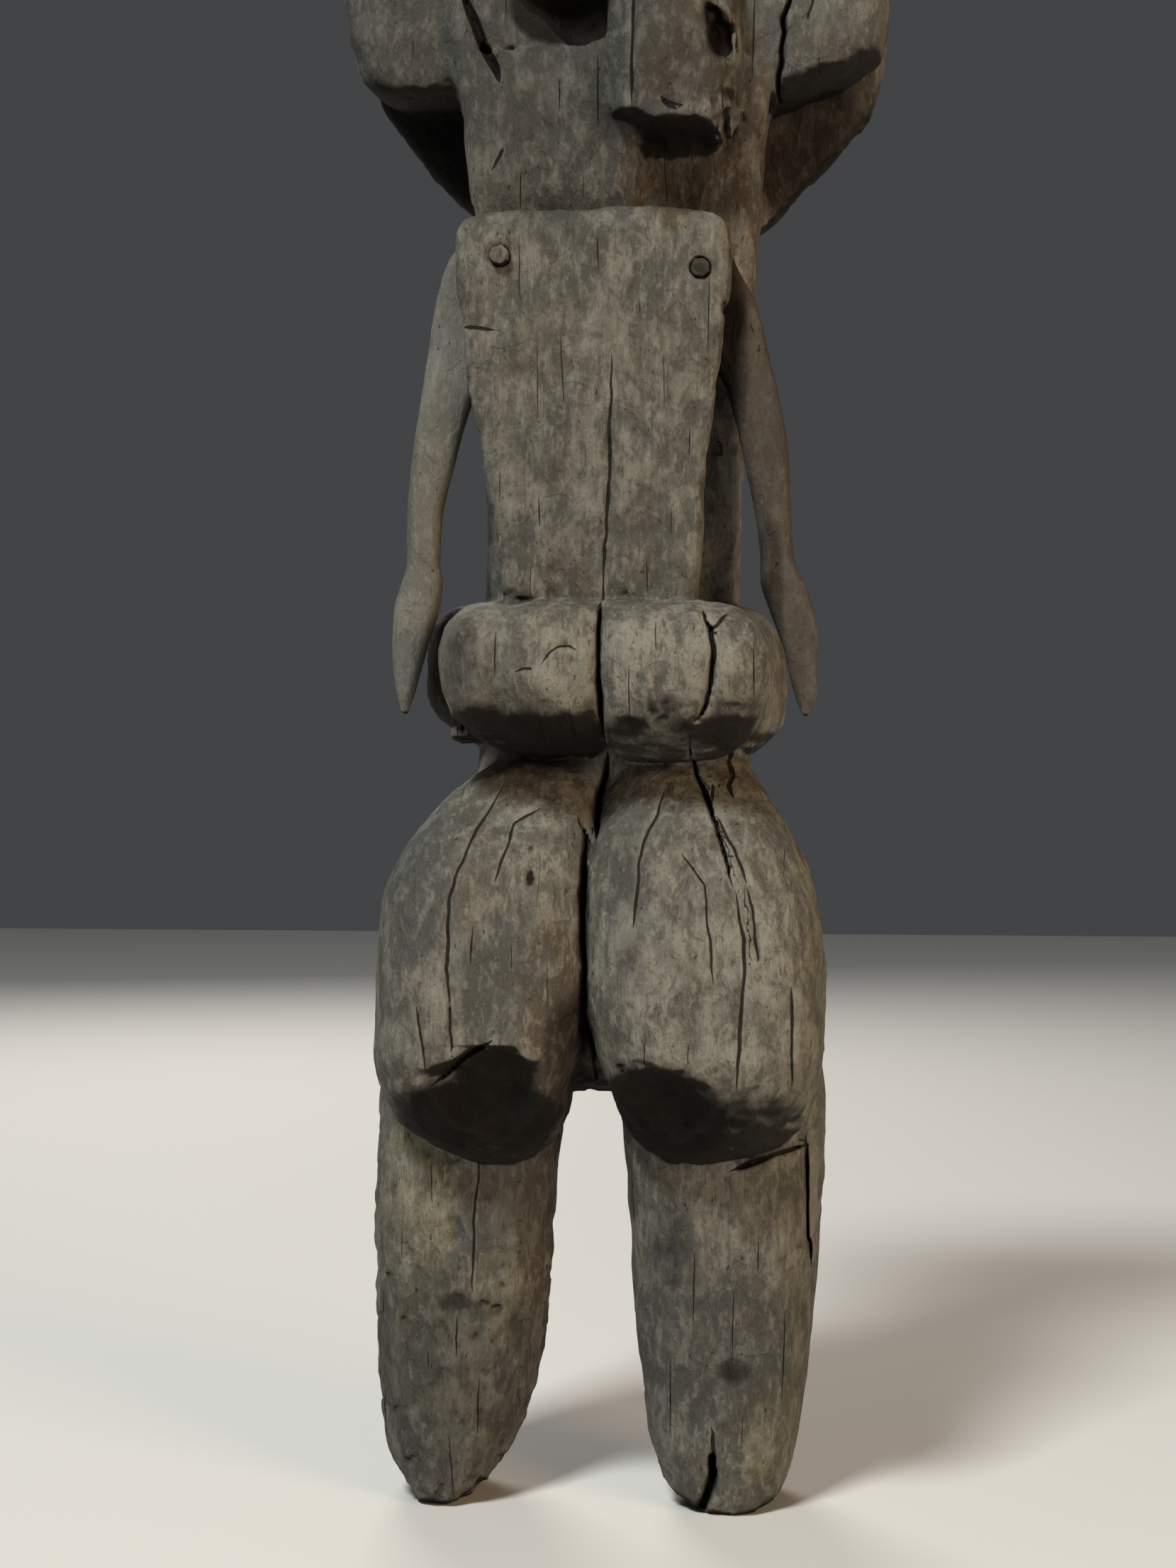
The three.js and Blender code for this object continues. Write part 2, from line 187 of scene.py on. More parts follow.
class Field:
    """Distances to the surface of a carving on a grid: negative inside the wood."""

    def __init__(self, low, high, step):
        self.low = np.array(low, float)
        self.step = step
        shape = np.ceil((np.array(high) - self.low) / step).astype(int) + 1
        self.values = np.full(shape, FAR, np.float32)
        self.axes = [self.low[i] + step * np.arange(shape[i]) for i in range(3)]

    def block(self, low, high):
        """The part of the grid in a box, with its coordinates."""
        cuts = []
        for axis, a, b in zip(self.axes, low, high):
            first = max(int(np.searchsorted(axis, a)) - 1, 0)
            last = min(int(np.searchsorted(axis, b)) + 1, len(axis))
            cuts.append(slice(first, last))
        x, y, z = (axis[cut].astype(np.float32) for axis, cut in zip(self.axes, cuts))
        return tuple(cuts), x[:, None, None], y[None, :, None], z[None, None, :]

    def add(self, sections, blend=6, rim=4):
        cuts, distance = self.form(sections, rim)
        self.values[cuts] = smooth_min(self.values[cuts], distance, blend)

    def take(self, sections, blend, rim=4):
        cuts, distance = self.form(sections, rim)
        self.values[cuts] = smooth_max(self.values[cuts], -distance, blend)

    def form(self, sections, rim):
        """First-order distance to a skin over horizontal sections, within its own block.

        A section is its height, its left, right, back and front reaches and how square it is."""
        table = np.array(sorted(sections), float).T
        heights, left, right, back, front, _ = table
        cuts, x, y, z = self.block(
            (left.min() - MARGIN, back.min() - MARGIN, heights[0] - MARGIN),
            (right.max() + MARGIN, front.max() + MARGIN, heights[-1] + MARGIN),
        )
        fine = np.arange(heights[0], heights[-1] + FINE_STEP / 2, FINE_STEP)
        rows = [steady_curve(heights, row, fine) for row in table[1:]]
        left, right, back, front, square = (row.astype(np.float32) for row in rows)
        middle_x, half_x = (left + right) / 2, (right - left) / 2
        middle_y, half_y = (back + front) / 2, (front - back) / 2
        slopes = [np.gradient(a, FINE_STEP) for a in (middle_x, half_x, middle_y, half_y)]
        at = np.clip(((z - heights[0]) / FINE_STEP).astype(int), 0, len(fine) - 1)
        mx, hx, my, hy, n = (a[at] for a in (middle_x, half_x, middle_y, half_y, square))
        within = (z > heights[0]) & (z < heights[-1])
        dmx, dhx, dmy, dhy = (np.where(within, a[at], 0) for a in slopes)
        u, v = (x - mx) / hx, (y - my) / hy
        au, av = np.abs(u) + 1e-4, np.abs(v) + 1e-4
        pu, pv = au ** (n - 1), av ** (n - 1)
        q = (pu * au + pv * av) ** (1 / n)
        gu, gv = np.sign(u) * pu / hx, np.sign(v) * pv / hy
        gz = gu * (dmx + u * dhx) + gv * (dmy + v * dhy)
        steep = q ** (1 - n) * np.sqrt(gu * gu + gv * gv + gz * gz)
        side = (q - 1) / np.maximum(steep, 1e-3)
        cap = np.maximum(heights[0] - z, z - heights[-1])
        return cuts, smooth_max(side, cap, rim).astype(np.float32)

    def bar(self, x0, z0, radius, y_low, y_high, blend=1.0):
        """Bores a round hole along Y."""
        cuts, x, y, z = self.block(
            (x0 - radius - MARGIN, y_low - MARGIN, z0 - radius - MARGIN),
            (x0 + radius + MARGIN, y_high + MARGIN, z0 + radius + MARGIN),
        )
        side = np.sqrt((x - x0) ** 2 + (z - z0) ** 2) - radius
        hole = np.maximum(side, np.maximum(y_low - y, y - y_high))
        self.values[cuts] = smooth_max(self.values[cuts], -hole, blend)

    def crack(self, path, depth):
        """Opens a wedge-shaped crack along a path on the -Y side."""
        px, pz, half = path
        reach = 2 * half.max() + 6
        cuts, x, y, z = self.block(
            (px.min() - reach, CRACK_BACK, pz.min() - reach),
            (px.max() + reach, CRACK_FRONT, pz.max() + reach),
        )
        flat_x, flat_z = np.meshgrid(x.ravel(), z.ravel(), indexing="ij")
        gap = np.full(flat_x.shape, FAR)
        side = np.zeros(flat_x.shape)
        for cx, cz, half_here in zip(px, pz, half):
            away = np.hypot(flat_x - cx, flat_z - cz) - half_here
            nearer = away < gap
            gap = np.where(nearer, away, gap)
            side = np.where(nearer, half_here, side)
        gap, side = gap[:, None, :], side[:, None, :]
        inside = self.values[cuts]
        wedge = -gap + side * np.clip(inside / depth, -1.5, 0)
        self.values[cuts] = smooth_max(inside, wedge.astype(np.float32), 0.8)

    def roughen(self, amount, reach=4.0, low=(-500, -500, -500), high=(500, 500, 2000)):
        """Moves the surface by amount(points), in millimetres, within reach of it in a box."""
        cuts, x, y, z = self.block(low, high)
        part = self.values[cuts]
        near = np.abs(part) < reach
        first = np.array([cut.start for cut in cuts])
        points = self.low + (np.argwhere(near) + first) * self.step
        part[near] += amount(points).astype(np.float32)

    def sample(self, points):
        """Distances at any points, and FAR outside the grid."""
        spot = (points - self.low) / self.step
        top = np.array(self.values.shape) - 2
        corner = np.clip(np.floor(spot).astype(int), 0, top)
        t = np.clip(spot - corner, 0, 1)
        value = 0
        for way in CORNERS:
            share = np.where(way, t, 1 - t).prod(axis=1)
            value = value + share * self.values[tuple((corner + way).T)]
        return value

    def surface(self):
        """A closed quad mesh where the distance is zero, one point to a crossed cell."""
        wood = self.values < 0
        count = np.zeros(np.array(wood.shape) - 1, np.uint8)
        size = count.shape
        for a, b, c in CORNERS:
            count += wood[a : a + size[0], b : b + size[1], c : c + size[2]]
        crossed = (count > 0) & (count < 8)
        cells = np.argwhere(crossed)
        number = np.full(size, -1, np.int32)
        number[crossed] = np.arange(len(cells))
        total = np.zeros((len(cells), 3))
        hits = np.zeros(len(cells))
        at = {k: self.values[tuple((cells + k).T)] for k in CORNERS}
        for start in CORNERS:
            for axis in range(3):
                if start[axis]:
                    continue
                end = tuple(1 if i == axis else start[i] for i in range(3))
                a, b = at[start], at[end]
                cross = (a < 0) != (b < 0)
                share = np.where(cross, a / np.where(a == b, 1, a - b), 0)
                place = np.array(start, float)[None, :] + share[:, None] * np.eye(3)[axis]
                total += np.where(cross[:, None], place, 0)
                hits += cross
        points = self.low + (cells + total / hits[:, None]) * self.step
        faces = []
        for axis in range(3):
            u, v = (axis + 1) % 3, (axis + 2) % 3
            low = [slice(1, -1)] * 3
            low[axis] = slice(0, -1)
            high = list(low)
            high[axis] = slice(1, None)
            here, there = wood[tuple(low)], wood[tuple(high)]
            spots = np.argwhere(here != there)
            first = np.array([1, 1, 1])
            first[axis] = 0
            spots = spots + first
            side = here[here != there]
            quad = []
            for du, dv in ((0, 0), (-1, 0), (-1, -1), (0, -1)):
                move = np.zeros(3, int)
                move[u], move[v] = du, dv
                quad.append(number[tuple((spots + move).T)])
            quad = np.stack(quad, 1)
            quad[~side] = quad[~side][:, ::-1]
            faces.append(quad)
        return points, np.concatenate(faces)


# Stains and painted light and shade down the log's back: place (x, z), half sizes and strength.
# A sixth number limits a spot to what lies further along +Y than that. The soot spots are mostly
# painted shadow where shade falls, the pale ones painted light where light falls, the brown ones
# partly brown wood and partly painted warm shade, and the dim ones darken all as painted shade.
# The clean ones take away the hollows' grime and painted shade and the undersides' painted shade.
STAINS_AND_LIGHT = {
    # Partly brown wood, partly painted warm shade on the shaded nape, column, wing plate and waist
    "brown_and_warm_shade": [
        (56, 826, 28, 30, 1.2), (93, 850, 16, 80, 1.1), (66, 900, 32, 44, 0.75),
        (90, 876, 10, 16, 1.0), (88, 660, 18, 120, 0.3), (66, 470, 56, 14, 0.3),
        (-36, 195, 14, 60, 0.9), (-18, 320, 18, 60, 0.6), (130, 865, 60, 50, 0.8, 0),
        (24, 838, 8, 26, 0.5),
    ],
    # Mostly painted shadow under the head, wing plate, hollow and buttocks, and a few dark marks
    "soot_and_shadow": [
        (-18, 936, 30, 23, 1.4), (57, 822, 21, 26, 0.45), (-52, 779, 9, 9, 0.5),
        (69, 769, 9, 9, 0.5), (48, 176, 14, 30, 0.5), (87, 102, 13, 9, 0.6),
        (-95, 95, 44, 56, 0.33), (-86, 140, 13, 7, 0.6), (50, 853, 19, 8, 1.2),
        (38, 851, 9, 6, 1.1), (68, 851, 9, 6, 1.1), (-31, 405, 2.5, 5, 1.0),
        (-54, 286, 24, 18, 1.2), (40, 278, 28, 15, 1.1), (-118, 872, 62, 52, 1.0, 0),
        (134, 862, 60, 50, 0.55, 0), (80, 910, 8, 16, 0.9), (86, 875, 9, 5, 0.6),
        (-100, 530, 16, 60, 0.9, -60), (-8, 300, 18, 40, 0.6), (-62, 262, 48, 24, 1.0),
        (50, 260, 38, 24, 1.0),
    ],
    "grey": [
        (10, 935, 195, 90, 0.8), (-90, 90, 56, 70, 0.5), (70, 110, 56, 56, 0.55),
        (-56, 196, 30, 34, 1.0), (-60, 905, 80, 60, 0.6), (48, 174, 16, 34, 0.9),
        (87, 102, 16, 12, 1.0), (60, 120, 40, 40, 0.4), (-104, 400, 26, 50, 0.7),
        (-50, 350, 26, 34, 0.6), (30, 400, 14, 70, 0.6), (-10, 830, 60, 50, 0.5),
    ],
    "ochre": [
        (-112, 200, 26, 60, 0.8), (-48, 150, 30, 24, 0.9), (-90, 110, 50, 50, 0.45),
        (-70, 40, 16, 24, 0.6), (110, 60, 20, 40, 0.6), (120, 225, 16, 12, 0.5),
        (132, 340, 14, 110, 0.5), (130, 150, 12, 90, 0.5),
    ],
    # Takes grime and painted shade out of the hollows and undersides at the waist
    "less_grime_and_shade": [(45, 474, 46, 18, 0.35)],
    # Painted shade: darkens the wing plate, the buttocks' undersides and other places towards black
    "painted_shade": [
        (-45, 930, 125, 90, 0.3), (-24, 845, 60, 55, 0.3), (52, 890, 40, 26, 0.35),
        (60, 826, 30, 26, 0.25), (96, 838, 14, 34, 0.2), (-38, 488, 46, 15, 0.4),
        (-62, 260, 50, 26, 0.4), (50, 258, 42, 26, 0.4), (-118, 872, 62, 52, 0.8, 0),
        (3, 690, 84, 130, 0.18), (-95, 90, 60, 70, 0.28), (80, 120, 60, 50, 0.15),
        (-72, 536, 16, 20, 0.35), (-40, 512, 26, 12, 0.25), (130, 865, 60, 50, 0.5, 0),
    ],
    # Painted light: paler spots on the lit buttocks, the column's right side and other places
    "pale_wear_and_lit": [
        (84, 610, 12, 60, 1.0, -60), (-3, 546, 5, 3, 1.4), (-8, 530, 26, 26, 1.0),
        (-40, 530, 50, 36, 0.45), (56, 530, 60, 40, 0.75), (56, 905, 26, 40, 0.35),
        (-30, 420, 26, 30, 0.6), (-60, 370, 60, 70, 0.35), (70, 350, 66, 80, 0.7),
        (-10, 785, 80, 26, 0.55), (0, 835, 26, 30, 0.4), (-108, 120, 30, 60, 0.4),
    ],
}
# Painted shade on the right peg and painted light on the left one
PEG_LIGHT_AND_SHADE = {
    "soot_and_shadow": [(69, 769, 12, 12, 0.45)],
    "painted_shade": [(69, 769, 12, 12, 0.35)],
    "pale_wear_and_lit": [(-52, 779, 12, 12, 0.9)],
}
# On the loose arms: painted shadow of the board's edge on the right arm, and a paler left arm
LEFT_ARM_SPOTS = {"pale_wear_and_lit": [(-100, 640, 30, 180, 0.35)]}
RIGHT_ARM_SHADOW_AND_STAINS = {
    "painted_shade": [(90, 710, 40, 120, 0.45), (120, 560, 30, 80, 0.3)],
    "brown_and_warm_shade": [(92, 690, 30, 110, 1.0), (118, 590, 20, 90, 0.6)],
    "soot_and_shadow": [(78, 720, 20, 80, 0.7), (108, 570, 12, 60, 0.55)],
    "grey": [(118, 600, 20, 110, 0.4)],
}

GRAIN = Noise(11)
LUMPS = Noise(23)
TOOLS = Noise(37)
WEAR = Noise(53)


def carve_legs(log):
    log.add([
        (11, -109, -87, -42, 34, 2.2), (16, -120, -79, -45, 41, 2.3),
        (27, -131, -68, -48, 48, 2.4), (55, -140, -51, -51, 55, 2.5),
        (97, -143, -41, -52, 58, 2.6), (180, -145, -32, -52, 60, 2.6),
        (262, -144, -26, -50, 62, 2.7), (330, -130, -22, -40, 46, 2.7),
    ], rim=1.5)
    log.add([
        (11, 60, 102, -42, 34, 2.4), (16, 48, 112, -45, 41, 2.5), (27, 38, 118, -48, 48, 2.6),
        (55, 29, 125, -51, 55, 2.6), (97, 24, 131, -52, 58, 2.6), (180, 18, 138, -52, 60, 2.6),
        (262, 13, 142, -50, 62, 2.7), (330, 18, 132, -40, 46, 2.7),
    ], rim=1.5)


def carve_pelvis(log):
    log.add([
        (268, -104, 104, -24, 36, 2.6), (276, -126, 128, -38, 54, 2.7),
        (296, -135, 140, -48, 63, 2.7), (340, -135, 142, -54, 67, 2.6),
        (400, -128, 136, -56, 68, 2.6), (440, -104, 113, -56, 67, 2.6),
        (470, -79, 94, -52, 65, 2.7), (505, -74, 84, -42, 62, 2.8),
    ], blend=12, rim=10)


def carve_great_buttocks(log):
    """The mother's overhanging buttocks: the undersides slope back in to the legs."""
    log.add([
        (227, -78, -44, -60, 10, 2.2), (238, -104, -26, -76, 10, 2.4),
        (256, -123, -17, -95, 10, 2.6), (282, -131, -11, -114, 10, 2.8),
        (300, -133, -4, -119, 10, 2.9), (340, -133, 5, -119, 10, 2.9),
        (385, -131, 8, -115, 10, 2.8), (422, -117, 8, -104, 10, 2.7), (447, -99, 9, -86, 10, 2.5),
        (466, -79, 7, -66, 10, 2.4), (478, -60, 0, -48, 10, 2.2),
    ], blend=5)
    log.add([
        (228, 42, 84, -60, 10, 2.2), (240, 26, 118, -77, 10, 2.4), (258, 17, 133, -96, 10, 2.6),
        (282, 9, 140, -114, 10, 2.8), (300, 3, 142, -119, 10, 2.9), (340, -6, 142, -119, 10, 2.9),
        (385, -8, 139, -115, 10, 2.8), (422, -5, 125, -105, 10, 2.7), (447, 1, 112, -88, 10, 2.5),
        (468, 8, 97, -66, 10, 2.4), (482, 20, 82, -48, 10, 2.2),
    ], blend=5)
    log.take([
        (246, -64, -38, -130, -77, 2.2), (262, -88, -24, -140, -82, 2.2),
        (282, -92, -22, -150, -91, 2.2), (293, -80, -26, -150, -100, 2.2),
        (301, -66, -32, -150, -110, 2.2), (306, -56, -38, -150, -121, 2.2),
    ], blend=6)
    log.take([
        (244, 26, 56, -130, -77, 2.2), (258, 14, 76, -140, -83, 2.2), (274, 6, 80, -150, -92, 2.2),
        (286, 8, 66, -150, -102, 2.2), (293, 14, 52, -150, -111, 2.2),
        (298, 18, 44, -150, -121, 2.2),
    ], blend=6)


def carve_trunk(log):
    log.add([
        (470, -76, 88, -46, 62, 2.8), (520, -74, 83, TRUNK_BACK, 60, 3),
        (578, -75, 86, TRUNK_BACK, 60, 3), (670, -76, 89, TRUNK_BACK, 61, 3),
        (771, -79, 96, TRUNK_BACK, 62, 3), (830, -81, 101, -46, 60, 3),
        (875, -85, 106, -50, 60, 2.9), (910, -91, 110, -54, 62, 2.8),
        (960, -96, 114, -58, 66, 2.6), (1010, -92, 110, -55, 64, 2.4),
        (1048, -72, 90, -44, 52, 2.3), (1072, -42, 60, -26, 34, 2.2), (1084, -12, 30, -6, 14, 2),
    ], blend=10, rim=2)


def carve_nape(log):
    log.add([
        (806, -74, 29, -58, -20, 4), (830, -78, 30, -63, -20, 4), (870, -82, 31, -65, -20, 4),
        (930, -92, 34, -66, -20, 4), (985, -80, 40, -63, -20, 3),
    ], blend=3)


def carve_child_head(log):
    """What is left of the child's head: a worn lump that rises out of the nape from the left."""
    log.add([
        (862, -24, 34, -62, -30, 2.2), (876, -22, 42, -70, -30, 2.2),
        (905, -16, 46, -78, -30, 2.2), (950, -12, 46, -78, -30, 2.2), (995, 0, 40, -62, -30, 2.2),
    ], blend=12)
    log.add([
        (848, 60, 76, -74, -30, 3), (851, 51, 78, -86, -30, 3.4), (856, 40, 80, -91, -30, 3.4),
        (862, 26, 85, -92, -30, 3.2), (868, 13, 90, -92, -30, 2.9), (905, 9, 93, -93, -30, 2.6),
        (950, 9, 92, -89, -30, 2.4), (985, 16, 82, -78, -30, 2.3), (1005, 28, 64, -60, -30, 2.2),
    ], blend=5)
    for x, low, high, back in ((79, 842, 912, -76), (72, 846, 900, -89), (85, 852, 905, -72)):
        log.add([
            (low, x - 1, x + 1, back + 8, back + 13, 2),
            (low + 12, x - 3, x + 3, back, back + 24, 2.4),
            (high, x - 4, x + 4, back - 2, back + 26, 2.4),
        ], blend=3, rim=1)


def carve_channel(log):
    """The nape's right half lies deeper, between its left half and a strip down the right."""
    log.add([
        (540, 60, 85, -30, -20, 3), (690, 60, 90, -39, -20, 3), (806, 52, 101, -46, -20, 3.4),
        (850, 52, 105, -48, -20, 3.4), (872, 60, 107, -56, -20, 3), (905, 70, 109, -58, -20, 3),
    ], blend=5)
    log.take([
        (800, 32, 84, -120, -46, 3), (845, 33, 84, -120, -47, 3), (852, 40, 78, -120, -50, 3),
        (857, 44, 70, -120, -56, 3),
    ], blend=2.5, rim=2)


def carve_wings(log):
    """The mother's hair at each side: a thick block behind, over a plate that reaches lower."""
    log.add([
        (889, -124, -66, -46, 10, 3), (895, -139, -66, -51, 14, 3.4),
        (908, -151, -66, -54, 16, 3.4), (930, -157, -66, -55, 16, 3.4),
        (965, -160, -66, -55, 16, 3.4), (1005, -154, -50, -55, 16, 3.4),
        (1035, -134, -50, -48, 14, 3.2), (1050, -106, -50, -38, 10, 3),
    ], blend=7, rim=3)
    log.add([
        (826, -84, -50, 12, 40, 3), (848, -107, -50, 9, 43, 3.6), (872, -128, -50, 8, 44, 4),
        (905, -149, -50, 8, 45, 4), (940, -157, -50, 8, 46, 4), (985, -158, -50, 8, 46, 4),
        (1030, -144, -50, 8, 45, 4), (1062, -108, -50, 10, 42, 3.4), (1070, -84, -50, 12, 38, 3),
    ], blend=4, rim=3)
    log.add([
        (883, 70, 118, -46, 10, 3.4), (892, 70, 143, -52, 14, 3.4), (900, 70, 164, -55, 16, 3.4),
        (912, 70, 178, -56, 16, 3.4), (935, 70, 182, -57, 16, 3.4), (965, 70, 183, -57, 16, 3.4),
        (1005, 70, 176, -55, 16, 3.4), (1035, 70, 155, -48, 14, 3.2), (1050, 70, 126, -38, 10, 3),
    ], blend=7, rim=3)
    log.add([
        (814, 70, 104, 12, 40, 3), (840, 70, 129, 9, 43, 3.6), (865, 70, 153, 8, 44, 4),
        (893, 70, 173, 8, 45, 4), (930, 70, 180, 8, 46, 4), (985, 70, 181, 8, 46, 4),
        (1030, 70, 164, 8, 45, 4), (1062, 70, 128, 10, 42, 3.4), (1070, 70, 104, 12, 38, 3),
    ], blend=4, rim=3)


def carve_board(log):
    """The child's torso, a flat board, and the wood left between it and the trunk."""
    edges = (
        (556, -50, 65, -2, 5), (571, -51, 66, -2, 5), (610, -56, 69, -1, 5), (651, -63, 72, -1, 5),
        (690, -72, 78, 0, 5), (734, -75, 83, 0, 5), (776, -80, 87, 0, 5), (794, -79, 85, 0, 5),
        (803, -74, 74, 2, 4.5),
    )
    board = [(z, a, b, BOARD_FACE + inset, BOARD_BACK, n) for z, a, b, inset, n in edges]
    board.append((809, -60, 46, BOARD_FACE + 5, BOARD_BACK - 1, 4))
    log.add(board, blend=2, rim=4)
    log.add([
        (530, -46, 58, -84, -36, 5), (640, -32, 42, -84, -36, 5), (796, -32, 42, -84, -36, 5),
    ], blend=3)


def carve_child_buttocks(log):
    log.add([
        (476, -36, 2, -60, -40, 2.1), (480, -52, 10, -82, -42, 2.1),
        (486, -65, 15, -102, -44, 2.2), (494, -75, 19, -118, -46, 2.3),
        (505, -81, 22, -129, -50, 2.5), (519, -85, 24, -134.5, -52, 2.7),
        (538, -86, 24, -136, -54, 2.9), (553, -83, 23, -132, -54, 2.9),
        (565, -74, 22, -121, -54, 2.9), (572, -58, 19, -104, -56, 3),
    ], blend=3)
    log.add([
        (473, 24, 70, -60, -40, 2.1), (476, 17, 84, -80, -42, 2.1), (482, 10, 94, -101, -44, 2.2),
        (490, 6, 101, -117, -46, 2.3), (502, 4, 107, -128, -50, 2.5),
        (517, 2, 112, -134.5, -52, 2.7), (536, 2, 113, -136, -54, 2.9),
        (552, 3, 108, -132, -54, 2.9), (564, 4, 95, -121, -54, 2.9), (571, 7, 74, -104, -56, 3),
    ], blend=3)
    log.add([
        (486, -80, -70, -70, -50, 3), (490, -84, -66, -86, -50, 3), (495, -84, -72, -84, -50, 3),
    ], blend=2, rim=1)


def carve_thighs(log):
    log.add([
        (484, -80, -40, -24, 34, 2.2), (495, -98, -30, -38, 54, 2.4),
        (512, -111, -26, -46, 70, 2.6), (534, -114, -24, -47, 76, 2.6),
        (556, -111, -26, -46, 70, 2.6), (570, -100, -30, -42, 54, 2.5),
        (576, -86, -36, -36, 40, 2.3),
    ], blend=4)
    log.add([
        (474, 46, 84, -24, 34, 2.2), (484, 38, 102, -36, 54, 2.4), (500, 32, 114, -46, 70, 2.6),
        (524, 30, 117, -47, 76, 2.6), (550, 32, 114, -46, 70, 2.6), (566, 36, 103, -42, 54, 2.5),
        (574, 42, 88, -36, 40, 2.3),
    ], blend=4)


def carve_face(log):
    """The mother's plain face: an oval mass, a brow, a nose, closed eyes and a small mouth."""
    middle = 9

    def across(z, half, back, front, square):
        return (z, middle - half, middle + half, back, front, square)

    log.add([
        across(838, 22, 20, 68, 2.2), across(850, 42, 20, 82, 2.3), across(880, 62, 20, 91, 2.4),
        across(930, 72, 20, 94, 2.4), across(980, 72, 20, 92, 2.4), across(1022, 60, 20, 84, 2.3),
        across(1052, 38, 20, 66, 2.2),
    ], blend=6)
    log.add([
        across(962, 50, 70, 92, 2.6), across(968, 56, 70, 99, 2.6), across(978, 54, 70, 94, 2.6),
    ], blend=5, rim=5)
    log.add([
        across(908, 8, 80, 100, 2.4), across(914, 13, 80, 112, 2.4), across(924, 11, 80, 111, 2.4),
        across(968, 7, 80, 100, 2.4),
    ], blend=4)
    log.add([
        across(880, 14, 80, 92, 2.4), across(886, 22, 80, 99, 2.6), across(893, 18, 80, 94, 2.4),
    ], blend=4, rim=3)
    for x in (middle - 33, middle + 33):
        log.add([
            (939, x - 9, x + 9, 70, 94, 2.2), (946, x - 17, x + 17, 70, 98, 2.3),
            (953, x - 9, x + 9, 70, 95, 2.2),
        ], blend=3, rim=3)


def carve_front(log):
    """The mother's front: two breasts and a rounded belly, left plain."""
    for x in (-34, 46):
        log.add([
            (662, x - 14, x + 14, 40, 68, 2.2), (672, x - 25, x + 25, 40, 84, 2.2),
            (690, x - 28, x + 28, 40, 92, 2.2), (716, x - 22, x + 22, 40, 78, 2.2),
            (738, x - 12, x + 12, 40, 64, 2.2),
        ], blend=6)
    log.add([
        (500, -40, 50, 30, 66, 2.3), (535, -56, 64, 30, 82, 2.3), (575, -58, 66, 30, 88, 2.3),
        (615, -50, 58, 30, 78, 2.3), (645, -34, 42, 30, 62, 2.3),
    ], blend=8)


def carve_hollows(log):
    """The deep hollow beside the child's head and the small one at its right."""
    log.take([
        (911, -8, 0, -110, -44, 2.4), (917, -17, 9, -110, -38, 2.8),
        (930, -31, 11, -110, -34, 2.8), (945, -45, 10, -110, -34, 2.8),
        (956, -50, 0, -110, -38, 2.6), (966, -46, -14, -110, -46, 2.4),
    ], blend=2.5)
    log.take([
        (896, 81, 87, -120, -78, 2.4), (909, 77, 87, -120, -68, 2.4),
        (925, 72, 78, -120, -74, 2.4),
    ], blend=3)


# Drying cracks down the log's back: places (x, z), width and depth. One without a depth is a
# shallow groove with a dark line down it.
CRACKS = [
    ([(9, 481), (7, 466), (4, 452), (5, 436), (6, 424)], 3.4, 26),
    ([(-6, 441), (-2, 430), (-1, 404), (-1, 372), (0, 354), (0, 336), (-2, 312), (1, 276)],
     3.6, 32),
    ([(16, 719), (15, 678), (14, 633), (12, 602), (11, 575)], 1.8),
    ([(11, 580), (12, 555), (12, 523), (13, 500), (11, 484)], 2.6, 22),
    ([(73, 563), (75, 555), (78, 550), (80, 538), (79, 520), (75, 507), (67, 496)], 2.6, 14),
    ([(78, 550), (82, 553), (87, 560)], 1.8),
    ([(65, 490), (62, 477), (64, 467), (69, 457), (76, 445), (80, 430), (86, 414), (90, 400)],
     2.6, 14),
    ([(79, 442), (84, 432), (91, 420), (98, 402)], 1.5),
    ([(85, 486), (83, 474), (86, 465), (84, 460), (88, 452)], 2.4),
    ([(75, 461), (76, 451)], 1.6),
    ([(47, 458), (44, 444), (37, 428), (34, 412), (32, 391), (31, 375)], 1.7),
    ([(92, 397), (93, 385), (97, 371), (97, 357), (96, 339), (95, 322), (92, 280)], 2.0),
    ([(98, 400), (101, 388), (103, 374), (105, 356)], 1.4),
    ([(59, 420), (66, 411), (73, 402), (75, 388), (76, 374), (79, 344)], 1.3),
    ([(124, 342), (125, 321), (124, 303), (124, 284)], 1.6),
    ([(-53, 460), (-55, 452), (-65, 433), (-73, 412), (-79, 392), (-79, 372), (-80, 350),
      (-77, 328)], 1.8),
    ([(-77, 330), (-77, 300)], 1.3),
    ([(-28, 446), (-43, 437), (-45, 426), (-52, 402)], 1.6),
    ([(-98, 328), (-96, 314), (-92, 289)], 1.3),
    ([(-90, 281), (-80, 290), (-71, 298), (-61, 304), (-52, 309)], 3.2, 7),
    ([(-71, 232), (-73, 207), (-75, 170), (-75, 145)], 1.3),
    ([(84, 224), (98, 229), (111, 234), (122, 237), (130, 239)], 2.6, 8),
    ([(130, 246), (130, 220), (130, 200), (131, 180), (133, 160)], 2.6, 10),
    ([(73, 66), (74, 51), (74, 42)], 2.2),
    ([(28, 964), (29, 930), (28, 895), (28, 864)], 1.6),
    ([(-82, 952), (-73, 930), (-66, 914), (-59, 900), (-56, 890)], 5.6, 12),
    ([(126, 962), (123, 941), (116, 926), (117, 913), (115, 898), (112, 882), (111, 866)],
     2.8, 16),
    ([(137, 946), (135, 934), (132, 924)], 1.5),
    ([(-54, 851), (-61, 838)], 2.4),
    ([(42, 872), (52, 867), (59, 866)], 1.8),
    ([(-75, 737), (-66, 736), (-54, 734)], 2.4),
    ([(0, 538), (-4, 541), (-10, 541), (-16, 537), (-20, 531)], 1.3),
    ([(-36, 526), (-31, 528), (-25, 528)], 1.4),
    ([(45, 872), (50, 866), (56, 864)], 2.4),
]
STUMP_CRACK = [(74, 50), (73, 36), (70, 26), (66, 14)]

